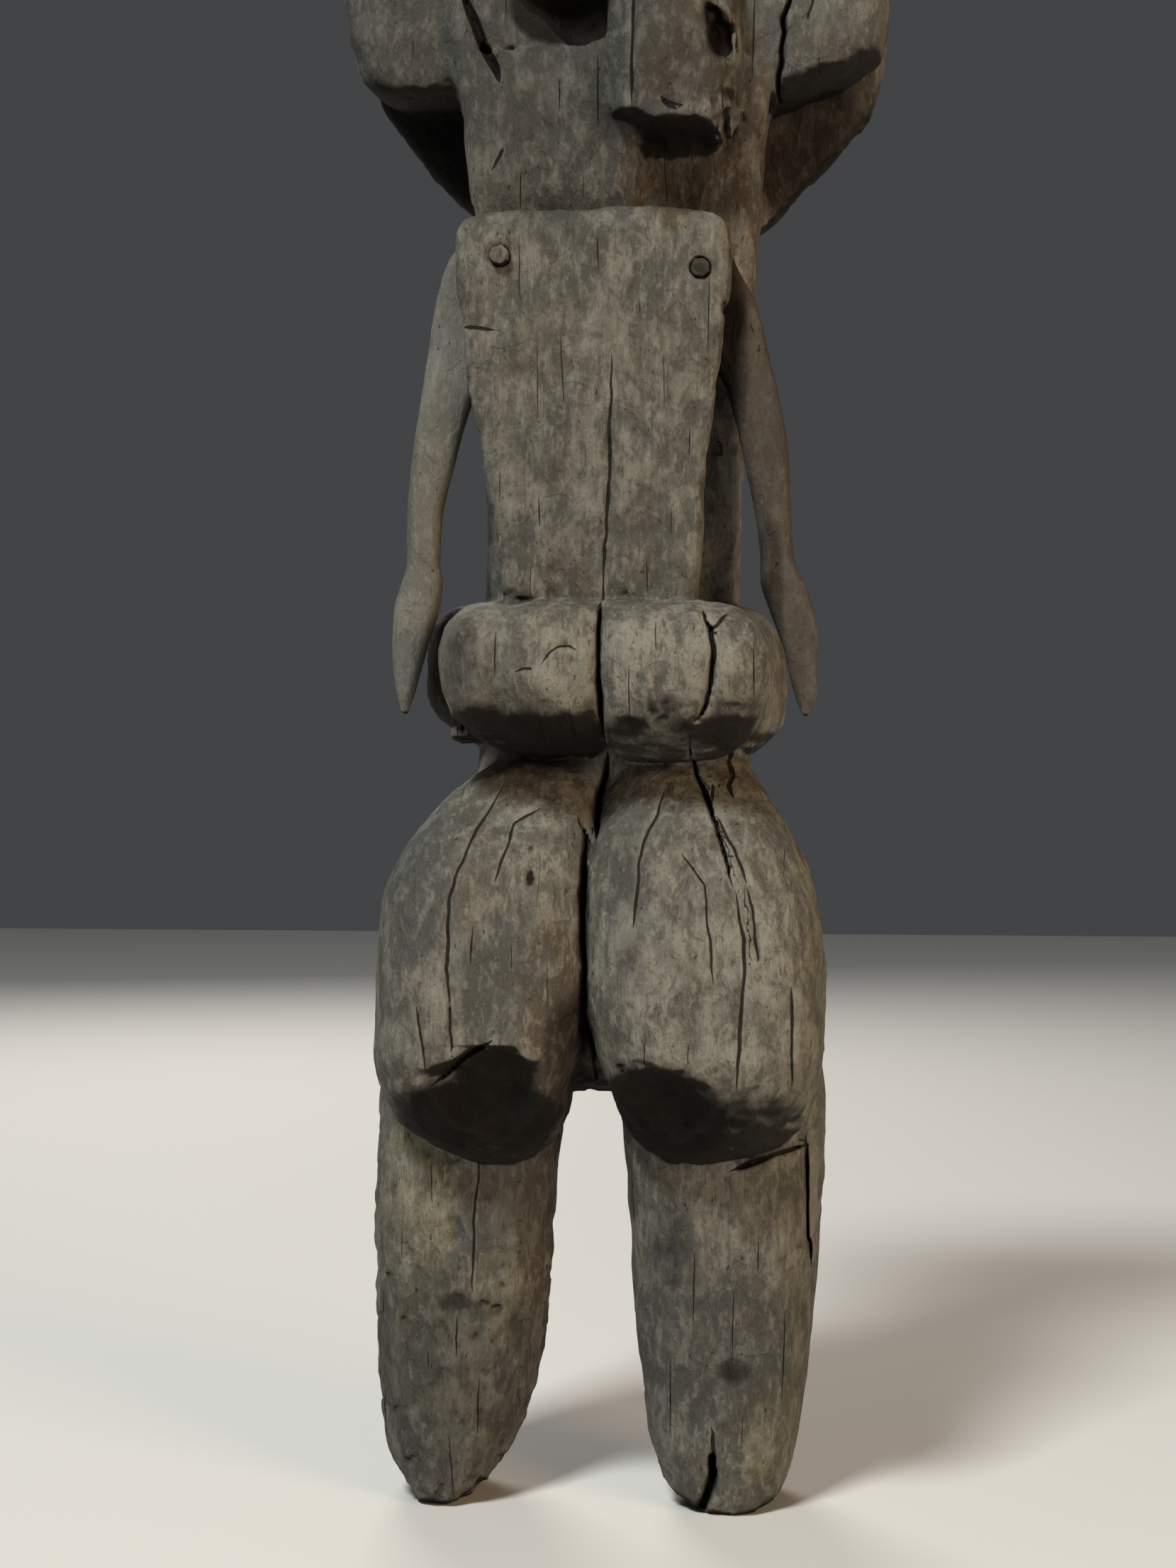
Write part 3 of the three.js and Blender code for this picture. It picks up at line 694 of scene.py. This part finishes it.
# Small dents and gouges: place (x, z), width, height and depth
DENTS = [
    (44, 356, 3, 5, 4), (41, 322, 4, 1, 2), (91, 355, 4, 7, 4), (83, 342, 7, 0, 3),
    (52, 446, 4, 2, 3), (24, 292, 6, 3, 4), (86, 320, 4, 6, 3), (-16, 441, 5, 3, 2),
    (-10, 396, 4, 3, 3), (-3, 532, 5, 2, 3), (-42, 514, 6, 2, 3), (43, 502, 6, 2, 3),
    (52, 500, 3, 2, 2), (-66, 668, 5, 12, 3), (-46, 634, 5, 1, 3), (2, 787, 3, 4, 2),
    (-74, 700, 4, 10, 3), (68, 700, 4, 12, 3), (30, 672, 3, 3, 2), (60, 630, 5, 9, 2),
    (-20, 588, 9, 2, 3), (-38, 580, 5, 2, 2), (100, 342, 3, 8, 3), (16, 384, 3, 4, 3),
    (-100, 372, 8, 6, 2), (-96, 350, 6, 9, 2), (-60, 118, 12, 4, 3), (-96, 92, 5, 9, 3),
    (-86, 68, 6, 8, 3), (-58, 150, 7, 4, 3), (88, 102, 14, 7, 2.5), (26, 82, 4, 6, 3),
    (60, 68, 14, 3, 3), (48, 176, 12, 30, 1.5), (-130, 66, 3, 14, 3), (-66, 660, 4, 10, 6),
    (-57, 625, 3, 8, 6), (76, 668, 4, 9, 6), (83, 745, 3, 8, 5), (-77, 742, 4, 6, 5),
    (86, 876, 5, 3, 4), (92, 868, 4, 5, 4), (-62, 132, 10, 8, 5), (-50, 122, 8, 4, 4),
    (-84, 141, 11, 4, 4), (-30, 405, 3, 6, 6), (-20, 574, 10, 4, 4), (-46, 574, 8, 3, 4),
    (24, 574, 7, 2, 3),
]
# Where fine splits are scattered: left, right, lowest, highest and how many
FINE_SPLITS = [
    (-130, 0, 300, 450, 16), (5, 138, 300, 450, 22), (-140, -40, 40, 240, 14),
    (20, 130, 40, 240, 12), (-70, 75, 580, 790, 26), (-80, 105, 490, 565, 22),
    (-150, 170, 820, 960, 34), (-90, 120, 960, 1070, 12),
]
SPLIT_SPACING = 11.0
SPLIT_RUN = 12, 60
SPLIT_LEAN = 0.05
SPLIT_WIDTH = 0.3, 0.9
SPLIT_FRONT = -12  # none are drawn further towards the front


def crack_path(points, width, seed, ends=0.2, wander=0.8):
    """Places down a crack and its half width at each: it wanders, swells and closes to its ends."""
    path = np.array(points, float)
    length = np.concatenate([[0], np.cumsum(np.hypot(*np.diff(path, axis=0).T))])
    steps = np.linspace(0, length[-1], max(int(length[-1] / CRACK_STEP), 4))
    px, pz = (np.interp(steps, length, path[:, i]) for i in (0, 1))
    spots = np.stack([px, np.full_like(px, seed * 7.3), pz], 1)
    to_end = np.minimum(steps, length[-1] - steps)
    fade = np.clip(to_end / (ends * length[-1] + 1e-6), 0, 1)
    px = px + wander * GRAIN(spots, (9, 9, 9), 2) * np.minimum(fade * 3, 1)
    half = width / 2 * fade**0.6 * (1 + 0.35 * GRAIN(spots + 40, (14, 14, 14)))
    return px, pz, half


def open_cracks(log):
    """Cuts the cracks, the open end of the right stump's crack and the dents."""
    for seed, (places, width, *depth) in enumerate(CRACKS):
        if depth:
            log.crack(crack_path(places, width * CRACK_SPREAD, seed), *depth)
        else:
            log.crack(crack_path(places, GROOVE_WIDTH, seed), GROOVE_DEPTH)
    log.crack(crack_path(STUMP_CRACK, width=6.5, seed=90, ends=0.02), 16)
    for x, z, width, height, depth in DENTS:
        pit = [(x, z - height / 2), (x + 0.1, z + height / 2 + 0.1)]
        log.crack(crack_path(pit, width, x, 0.01), depth)


def split_paths():
    """The drying cracks' paths and fine splits scattered clear of them and of one another."""
    random = np.random.default_rng(5)
    paths = [crack_path(points, width, seed) for seed, (points, width, *_) in enumerate(CRACKS)]
    taken = np.concatenate([np.stack(path[:2], 1) for path in paths])
    for low_x, high_x, low_z, high_z, count in FINE_SPLITS:
        for _ in range(count):
            x, z = random.uniform(low_x, high_x), random.uniform(low_z, high_z)
            run = random.uniform(*SPLIT_RUN)
            lean = random.uniform(-SPLIT_LEAN, SPLIT_LEAN) * run
            width = random.uniform(*SPLIT_WIDTH)
            path = crack_path([(x, z), (x + lean, z - run)], width, z, 0.5, 0.25)
            spots = np.stack(path[:2], 1)
            gaps = np.linalg.norm(taken[None] - spots[:, None], axis=2)
            if gaps.min() > SPLIT_SPACING:
                paths.append(path)
                taken = np.concatenate([taken, spots])
    return paths


def split_lines(places):
    """For the mesh's points: signed and plain distance to the nearest crack, and its half width.

    A straight line between two points' signed distances crosses 0 on the crack, whatever the
    mesh. The plain distance tells a crack from the middle of the wood between two cracks."""
    paths = split_paths()
    tree = KDTree(sum(len(path[0]) for path in paths))
    spots = []
    for px, pz, half in paths:
        ways = np.gradient(np.stack([px, pz], 1), axis=0)
        ways /= np.linalg.norm(ways, axis=1)[:, None]
        for x, z, (way_x, way_z), half_here in zip(px, pz, ways, half):
            tree.insert((x, 0, z), len(spots))
            spots.append((x, z, way_x, way_z, half_here))
    tree.balance()
    side = np.full(len(places), SPLIT_SPACING)
    near = np.full(len(places), SPLIT_SPACING)
    width = np.zeros(len(places))
    for i in np.flatnonzero(places[:, 1] < SPLIT_FRONT):
        x, _, z = places[i]
        _, which, away = tree.find((x, 0, z))
        if away < SPLIT_SPACING:
            cx, cz, way_x, way_z, half_here = spots[which]
            side[i] = (x - cx) * way_z - (z - cz) * way_x
            near[i] = away
            width[i] = half_here
    return side, near, width


def soft_step(value, low, high):
    """0 below low, 1 above high and a smooth rise between them."""
    t = np.clip((value - low) / (high - low), 0, 1)
    return t * t * (3 - 2 * t)


def soft_spot(places, x, z, half_x, half_z, nearest=None):
    """1 inside an ellipse on the log's back, falling to 0 round it."""
    away = np.hypot((places[:, 0] - x) / half_x, (places[:, 2] - z) / half_z)
    share = soft_step(-away, -1.35, -0.65)
    y = places[:, 1]
    if nearest is None:
        return share * soft_step(-y, -25, -10)
    return share * soft_step(y, nearest - 10, nearest) * soft_step(-y, -50, -30)


def spot_total(places, spots):
    """The strongest of the spots' shares at each place."""
    total = np.zeros(len(places))
    for x, z, half_x, half_z, strength, *nearest in spots:
        spot = soft_spot(places, x, z, half_x, half_z, *nearest)
        total = np.maximum(total, strength * spot)
    return total


def rough_wood(points):
    """How far the surface is worn back or stands proud of the plain forms, in millimetres."""
    x, z = points[:, 0], points[:, 2]
    worn_leg = soft_step(-z, -225, -190) * soft_step(-x, 0, 20)
    stump = soft_step(-z, -110, -60)
    broad = 1.5 * LUMPS(points, (42, 42, 70))
    chisel = (0.8 + 0.9 * worn_leg + 0.5 * stump) * TOOLS(points, (12, 12, 20), 3)
    flake = 0.9 * soft_step(WEAR(points, (21, 21, 34), 3), 0.2, 0.32)
    chip = (0.6 + 1.2 * worn_leg) * soft_step(TOOLS(points + 70, (11, 11, 15), 2), 0.28, 0.4)
    fibre = 0.18 * GRAIN(points, (3.4, 3.4, 34))
    return broad + chisel + flake + chip + fibre + 0.5


def lobe_wood(points):
    """The soft valleys between the child's buttocks and hips, and the knot in the left one."""
    x, z = points[:, 0], points[:, 2]
    left = np.exp(-(((x + 46 - (z - 530) * 0.12) / 9) ** 2))
    right = 0.5 * np.exp(-(((x - 80) / 8) ** 2))
    around = np.hypot(x + 10, (z - 534) * 0.8)
    knot = np.exp(-((around / 9) ** 2)) * (0.8 + 1.3 * GRAIN(points, (4, 9, 4), 2))
    return 4 * (left + right) + knot


def torn_wood(points):
    """The splintered face of the child's head."""
    there = soft_spot(points, 62, 890, 30, 52)
    torn = 1.6 * GRAIN(points + 90, (6, 9, 40), 2) + 1.5 * WEAR(points, (9, 9, 14), 2)
    return there * (torn + 0.4)


# The forms in the order in which they are carved
CARVING = [
    carve_trunk, carve_pelvis, carve_legs, carve_great_buttocks, carve_nape, carve_wings,
    carve_child_head, carve_channel, carve_board, carve_child_buttocks, carve_thighs, carve_face,
    carve_front, carve_hollows,
]


def build_log():
    log = Field(*LOG_BOX, LOG_STEP)
    for carve in CARVING:
        carve(log)
    log.roughen(rough_wood)
    log.roughen(torn_wood, 6.0, *HEAD_BOX)
    log.roughen(lobe_wood, 6.0, *LOBE_BOX)
    open_cracks(log)
    for peg in (LEFT_PEG, RIGHT_PEG):
        log.bar(peg["x"], peg["z"], PEG_RADIUS + PEG_GAP, BOARD_FACE - 30, TRUNK_BACK + PEG_DEPTH)
    return log


def new_object(name, data):
    """A new object in the scene."""
    item = bpy.data.objects.new(name, data)
    bpy.context.scene.collection.objects.link(item)
    return item


def read_triples(items, name):
    values = np.empty(len(items) * 3)
    items.foreach_get(name, values)
    return values.reshape(-1, 3)


def mesh_piece(name, field, triangles, stains_and_light):
    """A mesh object of a field's surface, moved to the row frame and thinned."""
    points, faces = field.surface()
    mesh = bpy.data.meshes.new(name)
    mesh.from_pydata([], [], [])
    mesh.vertices.add(len(points))
    mesh.vertices.foreach_set("co", ((points + SHIFT) / 1000).astype(np.float32).ravel())
    mesh.loops.add(len(faces) * 4)
    mesh.loops.foreach_set("vertex_index", faces.astype(np.int32).ravel())
    mesh.polygons.add(len(faces))
    mesh.polygons.foreach_set("loop_start", np.arange(0, len(faces) * 4, 4, dtype=np.int32))
    mesh.update(calc_edges=True)
    mesh.validate()
    piece = new_object(name, mesh)
    thin(piece, triangles / (2 * len(faces)))
    keep_in_box(piece.data)
    piece.data.shade_smooth()
    colour_values(piece, field, stains_and_light)
    return piece


def thin(piece, ratio):
    """Keeps about this share of the mesh's triangles."""
    if ratio < 1:
        modifier = piece.modifiers.new("thin", "DECIMATE")
        modifier.ratio = ratio
        seen = bpy.context.evaluated_depsgraph_get()
        mesh = bpy.data.meshes.new_from_object(piece.evaluated_get(seen))
        piece.modifiers.clear()
        heavy = piece.data
        piece.data = mesh
        bpy.data.meshes.remove(heavy)
        mesh.name = piece.name


def keep_in_box(mesh):
    """Presses the few points that stand out of the solids' box back to it."""
    low, high = np.array([list(corner) for corner in cad_box], np.float32)
    places = np.clip(read_triples(mesh.vertices, "co"), low, high)
    mesh.vertices.foreach_set("co", places.ravel())
    mesh.update()


def colour_values(piece, field, stains_and_light):
    """Values at the mesh's points for the wood's material: hollows, edges, undersides."""
    mesh = piece.data
    places = read_triples(mesh.vertices, "co") * 1000 - SHIFT
    normals = read_triples(mesh.vertex_normals, "vector")
    # How shut in each point is, which the material darkens as grime and painted shade
    hollow = 0
    for reach, share in ((3, 0.35), (8, 0.35), (16, 0.3)):
        open_here = np.clip(field.sample(places + normals * reach) / reach, 0, 1)
        hollow = hollow + share * (1 - open_here)
    worn = 1 - np.clip(-field.sample(places - normals * 5) / 5, 0, 1)
    totals = {name: spot_total(places, stains_and_light.get(name, [])) for name in STAINS_AND_LIGHT}
    # Less of the hollows' grime and painted shade, and of the undersides' painted shade
    grime_and_shade_kept = 1 - totals.pop("less_grime_and_shade")
    side, near, width = split_lines(places)
    values = {
        "hollow": hollow * grime_and_shade_kept,
        "worn": worn,
        # How much each point faces down, for painted shade on the undersides
        "underside_shade": np.clip(-normals[:, 2], 0, 1) * grime_and_shade_kept,
        "split_side": side,
        "split_near": near,
        "split_half": width * soft_step(-normals[:, 1], 0.2, 0.45),
        **totals,
    }
    for name, numbers in values.items():
        attribute = mesh.attributes.new(name, "FLOAT", "POINT")
        attribute.data.foreach_set("value", numbers.astype(np.float32))


def set_inputs(node, values):
    for name, value in values.items():
        node.inputs[name].default_value = value


class Nodes:
    """Short forms for building a material's node tree."""

    def __init__(self, name):
        self.material = bpy.data.materials.new(name)
        self.material.use_nodes = True
        self.tree = self.material.node_tree
        self.shader = self.tree.nodes["Principled BSDF"]

    def add(self, kind, **settings):
        node = self.tree.nodes.new(kind)
        for key, value in settings.items():
            setattr(node, key, value)
        return node

    def link(self, source, target):
        self.tree.links.new(source, target)

    def fill(self, socket, value):
        if hasattr(value, "is_output"):
            self.link(value, socket)
        else:
            socket.default_value = value

    def stretched(self, scale):
        """Object coordinates, with a scale per metre on each axis."""
        place = self.add("ShaderNodeTexCoord")
        mapping = self.add("ShaderNodeMapping")
        set_inputs(mapping, {"Scale": scale})
        self.link(place.outputs["Object"], mapping.inputs["Vector"])
        return mapping.outputs["Vector"]

    def noise(self, scale, detail, rough, distortion=0):
        node = self.add("ShaderNodeTexNoise")
        self.link(self.stretched(scale), node.inputs["Vector"])
        shape = {"Detail": detail, "Roughness": rough, "Distortion": distortion}
        set_inputs(node, {"Scale": 1, **shape})
        return node.outputs["Fac"]

    def value(self, name):
        return self.add("ShaderNodeAttribute", attribute_name=name).outputs["Fac"]

    def math(self, operation, *values):
        node = self.add("ShaderNodeMath", operation=operation)
        for socket, value in zip(node.inputs, values):
            self.fill(socket, value)
        return node.outputs[0]

    def ramp(self, value, low, high, to_low=0.0, to_high=1.0):
        node = self.add("ShaderNodeMapRange", interpolation_type="SMOOTHSTEP")
        self.fill(node.inputs["Value"], value)
        ends = {"From Min": low, "From Max": high, "To Min": to_low, "To Max": to_high}
        set_inputs(node, ends)
        return node.outputs["Result"]

    def mix(self, share, a, b):
        node = self.add("ShaderNodeMix", data_type="RGBA")
        self.fill(node.inputs["Factor"], share)
        for socket, colour in ((node.inputs[6], a), (node.inputs[7], b)):
            self.fill(socket, (*colour, 1) if isinstance(colour, tuple) else colour)
        return node.outputs[2]


def weathered_wood(name, light, dark, brown_and_warm_shade, patchy=1.0):
    """Dry old hardwood: grain and splits run along Z; grime and painted shade darken the hollows.

    patchy is how strongly the flakes, chalky patches and scuffs show."""
    n = Nodes(name)
    broad = n.noise((15, 15, 9), 4, 0.55, 0.5)
    mottle = n.noise((52, 52, 38), 9, 0.68, 0.5)
    flake = n.noise((38, 38, 26), 5, 0.5, 0.6)
    chalk = n.noise((80, 80, 46), 8, 0.66, 0.3)
    scuff = n.noise((200, 200, 90), 6, 0.64, 0.2)
    speck = n.noise((620, 620, 430), 4, 0.7)
    streak = n.noise((280, 280, 18), 4, 0.6)
    fibre = n.noise((950, 950, 50), 4, 0.6)
    pit = n.noise((300, 300, 140), 3, 0.6)
    dark_pit = n.ramp(pit, 0.67, 0.74)
    aside = n.math("ABSOLUTE", n.value("split_side"))
    line = n.math("SUBTRACT", n.value("split_half"), aside)
    line = n.math("MAXIMUM", n.math("MULTIPLY_ADD", line, 2.5, 0.5), 0.0)
    line = n.math("MINIMUM", line, 1.0)
    line = n.math("MULTIPLY", line, n.ramp(n.value("split_half"), 0.03, 0.15))
    line = n.math("MULTIPLY", line, n.ramp(n.value("split_near"), 3.4, 2.7))
    middle = tuple(0.35 * a + 0.65 * b for a, b in zip(light, dark))
    # Near-black for soot, pits and splits, and for painted shade and shadow
    soot_and_shadow = (0.008, 0.006, 0.004)
    slate = (0.0675, 0.0685, 0.064)
    ochre = (0.1674, 0.155, 0.1023)
    # Pale wood for chalk, scuffs, fibres and worn edges, and painted light at the pale spots
    pale_wear_and_lit = tuple(1.55 * shade for shade in light)
    colour = n.mix(n.ramp(mottle, 0.4, 0.58), middle, light)
    colour = n.mix(n.ramp(broad, 0.47, 0.62, 0, 0.75), colour, dark)
    colour = n.mix(n.ramp(broad, 0.5, 0.34, 0, 0.45), colour, brown_and_warm_shade)
    loose = n.math("MULTIPLY", n.math("SUBTRACT", mottle, 0.5), 1.8)
    # Grey and ochre spots are stains; brown and pale ones are partly painted shade and light
    for tone_patch, low, high, most, shade in (
        ("grey", 0.3, 0.55, 0.8, slate),
        ("ochre", 0.3, 0.6, 0.85, ochre),
        ("brown_and_warm_shade", 0.1, 0.5, 0.95, brown_and_warm_shade),
        ("pale_wear_and_lit", 0.5, 0.8, 0.6, pale_wear_and_lit),
    ):
        share = n.ramp(n.math("ADD", n.value(tone_patch), loose), low, high, 0, most)
        share = n.math("MULTIPLY", share, n.ramp(n.value(tone_patch), 0.0, 0.3))
        colour = n.mix(share, colour, shade)
    for pattern, low, high, most, shade in (
        (flake, 0.53, 0.56, 0.38 * patchy, slate), (flake, 0.45, 0.42, 0.3 * patchy, pale_wear_and_lit),
        (chalk, 0.5, 0.66, 0.6 * patchy, pale_wear_and_lit), (chalk, 0.48, 0.34, 0.85 * patchy, dark),
        (scuff, 0.52, 0.68, 0.6 * patchy, pale_wear_and_lit), (scuff, 0.47, 0.32, 0.8 * patchy, dark),
        (speck, 0.46, 0.28, 0.8, dark), (speck, 0.54, 0.72, 0.4, pale_wear_and_lit),
        (streak, 0.48, 0.28, 0.45, dark), (fibre, 0.5, 0.25, 0.5, dark),
        (fibre, 0.55, 0.78, 0.3, pale_wear_and_lit),
    ):
        colour = n.mix(n.ramp(pattern, low, high, 0, most), colour, shade)
    colour = n.mix(n.math("MULTIPLY", n.value("grey"), 0.45), colour, slate)
    colour = n.mix(n.ramp(n.value("worn"), 0.25, 0.75, 0, 0.4), colour, pale_wear_and_lit)
    # Grime and painted shade in the hollows
    hollow_grime_and_shade = n.math("MULTIPLY_ADD", loose, 0.3, n.value("hollow"))
    colour = n.mix(n.ramp(hollow_grime_and_shade, 0.26, 0.95, 0, 0.95), colour, soot_and_shadow)
    # Painted shade on the undersides, darker the more they face down
    underside_shade = n.math("MULTIPLY_ADD", loose, 0.2, n.value("underside_shade"))
    colour = n.mix(n.ramp(underside_shade, 0.42, 0.72, 0, 0.95), colour, soot_and_shadow)
    # The soot spots: painted shadow where shade falls, and a few dark marks
    share = n.ramp(n.math("MULTIPLY_ADD", loose, 0.3, n.value("soot_and_shadow")), 0.25, 0.8, 0, 0.95)
    share = n.math("MULTIPLY", share, n.ramp(n.value("soot_and_shadow"), 0.0, 0.2))
    colour = n.mix(share, colour, soot_and_shadow)
    colour = n.mix(n.math("MULTIPLY", dark_pit, 0.7), colour, soot_and_shadow)
    colour = n.mix(n.math("MULTIPLY", line, 0.93), colour, soot_and_shadow)
    # Painted shade: the dim spots darken the colour towards black
    colour = n.mix(n.value("painted_shade"), colour, (0.0, 0.0, 0.0))
    n.link(colour, n.shader.inputs["Base Color"])
    n.link(n.ramp(mottle, 0.3, 0.7, 0.66, 0.88), n.shader.inputs["Roughness"])
    set_inputs(n.shader, {"Specular IOR Level": 0.14})
    height = n.math("MULTIPLY", streak, 0.5)
    for pattern, weight in (
        (fibre, 0.3), (speck, 0.3), (scuff, 1.2), (chalk, 2.0),
        (n.ramp(flake, 0.53, 0.56), -0.35),
        (dark_pit, -0.6),
        (line, -1.2),
    ):
        height = n.math("MULTIPLY_ADD", pattern, weight, height)
    bump = n.add("ShaderNodeBump")
    set_inputs(bump, {"Strength": 0.8, "Distance": 0.0016})
    n.link(height, bump.inputs["Height"])
    n.link(bump.outputs["Normal"], n.shader.inputs["Normal"])
    return n.material


def wear(piece, material, slot, *replaced):
    """Gives a piece its wood and body, and hides the solids it stands for. The slot is not used."""
    piece.data.materials.append(material)
    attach(piece, "root")
    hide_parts(*replaced)


def arm_wood_relief(points):
    lumps = 0.5 * LUMPS(points, (20, 20, 40))
    return lumps + 0.25 * TOOLS(points, (7, 7, 16), 2) + 0.4


def arm_field(reaches, peg):
    """One arm, bored for its peg."""
    sections = [reach + depth for reach, depth in zip(reaches, ARM_DEPTHS)]
    table = np.array(sections, float)
    low, high = table.min(axis=0), table.max(axis=0)
    arm = Field(low[[1, 3, 0]] - ARM_ROOM, high[[2, 4, 0]] + ARM_ROOM, ARM_STEP)
    arm.add(sections, blend=2, rim=3)
    arm.roughen(arm_wood_relief)
    arm.bar(peg["x"], peg["z"], PEG_RADIUS + ARM_PEG_GAP, -100, 0)
    return arm


# Sections of the arms from the shoulder down: height, left and right for each arm, and what both
# share: back, front and how square they are
LEFT_ARM = [
    (801, -65, -47), (796, -76, -39), (783, -89, -37), (760, -96, -42), (725, -102, -60),
    (691, -107, -75), (654, -112, -85), (622, -114, -92), (596, -114, -93), (583, -117, -91),
    (568, -121, -93), (545, -122, -100), (520, -120, -107), (503, -116, -112),
]
RIGHT_ARM = [
    (791, 58, 77), (786, 50, 84), (772, 47, 91), (752, 54, 101), (725, 70, 108), (695, 84, 115),
    (658, 93, 121), (630, 99, 122), (598, 103, 124), (585, 103, 129), (570, 107, 135),
    (545, 116, 139), (518, 123, 139), (501, 129, 133),
]
ARM_DEPTHS = [
    (ARM_BACK + 2, ARM_FRONT - 2, 2.4), (ARM_BACK, ARM_FRONT, 2.6), (ARM_BACK, ARM_FRONT, 2.8),
    (ARM_BACK, ARM_FRONT, 2.8), (ARM_BACK, ARM_FRONT, 2.8), (-69, -49, 2.6), (-71, -50, 2.4),
    (-72, -51, 2.3), (-73, -52, 2.3), (-76, -53, 2.5), (-77, -54, 2.5), (-77, -56, 2.4),
    (-76, -59, 2.3), (-71, -64, 2.2),
]


def peg_field(peg):
    """A whittled round peg along Y with a slightly faceted side."""
    middle_x, middle_z = peg["x"], peg["z"]
    end, tip = BOARD_FACE - peg["proud"], TRUNK_BACK + PEG_DEPTH
    field = Field(
        (middle_x - PEG_ROOM, end - 4, middle_z - PEG_ROOM),
        (middle_x + PEG_ROOM, tip + 3, middle_z + PEG_ROOM),
        PEG_STEP,
    )
    cuts, x, y, z = field.block(field.low, field.low + 1000)
    around = np.arctan2(z - middle_z, x - middle_x)
    side = np.hypot(x - middle_x, z - middle_z) - (PEG_RADIUS - 0.25 - 0.2 * np.cos(7 * around))
    cap = np.maximum(end + 0.2 - y, y - (tip - 0.2))
    field.values[cuts] = smooth_max(side, cap, 1.2)
    field.roughen(lambda points: 0.25 * TOOLS(points, (2.5, 2.5, 2.5), 2), 2)
    return field


def build_pieces():
    wood = weathered_wood(
        "weathered_wood", (0.17, 0.163, 0.137), (0.07, 0.066, 0.054), (0.085, 0.06, 0.037)
    )
    arm_wood = weathered_wood(
        "arm_wood", (0.18, 0.175, 0.152), (0.11, 0.103, 0.085), (0.11, 0.082, 0.058), 0.35
    )
    peg_wood = weathered_wood(
        "peg_wood", (0.13, 0.117, 0.092), (0.045, 0.038, 0.029), (0.06, 0.043, 0.028)
    )
    figure = mesh_piece("figure_wood", build_log(), LOG_TRIANGLES, STAINS_AND_LIGHT)
    wear(figure, wood, "weathered_wood", "carved_figure")
    arms = (
        ("left", LEFT_ARM, LEFT_PEG, LEFT_ARM_SPOTS),
        ("right", RIGHT_ARM, RIGHT_PEG, RIGHT_ARM_SHADOW_AND_STAINS),
    )
    for side, reaches, peg, stains_and_light in arms:
        arm = mesh_piece(f"{side}_arm_wood", arm_field(reaches, peg), ARM_TRIANGLES, stains_and_light)
        wear(arm, arm_wood, "arm_wood", f"{side}_arm")
        pin = mesh_piece(f"{side}_peg_wood", peg_field(peg), PEG_TRIANGLES, PEG_LIGHT_AND_SHADE)
        wear(pin, peg_wood, "peg_wood", f"{side}_arm_peg")


def plain_material(name, colour, roughness):
    material = bpy.data.materials.new(name)
    material.use_nodes = True
    shader = material.node_tree.nodes["Principled BSDF"]
    set_inputs(shader, {"Base Color": (*colour, 1), "Roughness": roughness})
    return material


FLOOR_REACH = 6  # metres each way
LIGHT_TARGET = (0, 0, 0.6)  # the lights shine on the middle of the figure


def build_stage():
    mesh = bpy.data.meshes.new("floor")
    r = FLOOR_REACH
    mesh.from_pydata([(-r, -r, 0), (r, -r, 0), (r, r, 0), (-r, r, 0)], [], [(0, 1, 2, 3)])
    mesh.materials.append(plain_material("floor", (0.66, 0.655, 0.64), 0.8))
    floor = new_object("floor", mesh)
    world = bpy.data.worlds.new("studio")
    world.use_nodes = True
    background = world.node_tree.nodes["Background"]
    set_inputs(background, {"Color": (0.8, 0.82, 0.85, 1), "Strength": 0.07})
    bpy.context.scene.world = world


def add_light(name, direction, distance, size, power, colour):
    """A square soft light, this many metres from its target."""
    data = bpy.data.lights.new(name, "AREA")
    data.size = size
    data.energy = power
    data.color = colour
    light = new_object(name, data)
    way = np.array(direction) / np.linalg.norm(direction)
    light.location = LIGHT_TARGET + way * distance
    yaw = math.atan2(way[1], way[0]) + math.pi / 2
    tilt = math.acos(way[2])
    light.rotation_euler = (tilt, 0, yaw)


def add_lights():
    add_light("key", (-0.25, -0.59, 0.77), 5.0, 1.0, 250, (0.97, 1.0, 0.97))
    add_light("fill", (0.75, -0.62, 0.2), 3.2, 1.3, 50, (1.0, 0.68, 0.4))
    add_light("front", (-0.3, 0.8, 0.45), 3.6, 1.4, 60, (1.0, 0.95, 0.88))


# The camera stands level, behind and a little to the right of the figure. Lengths are in
# millimetres in the log's frame.
CAMERA_DISTANCE = 1600
CAMERA_TURN = math.radians(7)
CAMERA_HEIGHT = 460.8
CAMERA_SIDE = -9.225
VIEW_HEIGHT = 995.4
SENSOR = 24


def add_camera():
    data = bpy.data.cameras.new("camera")
    data.sensor_fit = "VERTICAL"
    data.sensor_height = SENSOR
    data.lens = SENSOR * CAMERA_DISTANCE / VIEW_HEIGHT
    camera = new_object("camera", data)
    right = np.array([math.cos(CAMERA_TURN), math.sin(CAMERA_TURN), 0])
    forward = np.array([-math.sin(CAMERA_TURN), math.cos(CAMERA_TURN), 0])
    place = CAMERA_SIDE * right - CAMERA_DISTANCE * forward + (0, 0, CAMERA_HEIGHT)
    camera.location = (place + SHIFT) / 1000
    camera.rotation_euler = (math.pi / 2, 0, CAMERA_TURN)
    bpy.context.scene.camera = camera


bpy.context.scene.view_settings.view_transform = "Standard"
add_camera()
build_pieces()
build_stage()
add_lights()
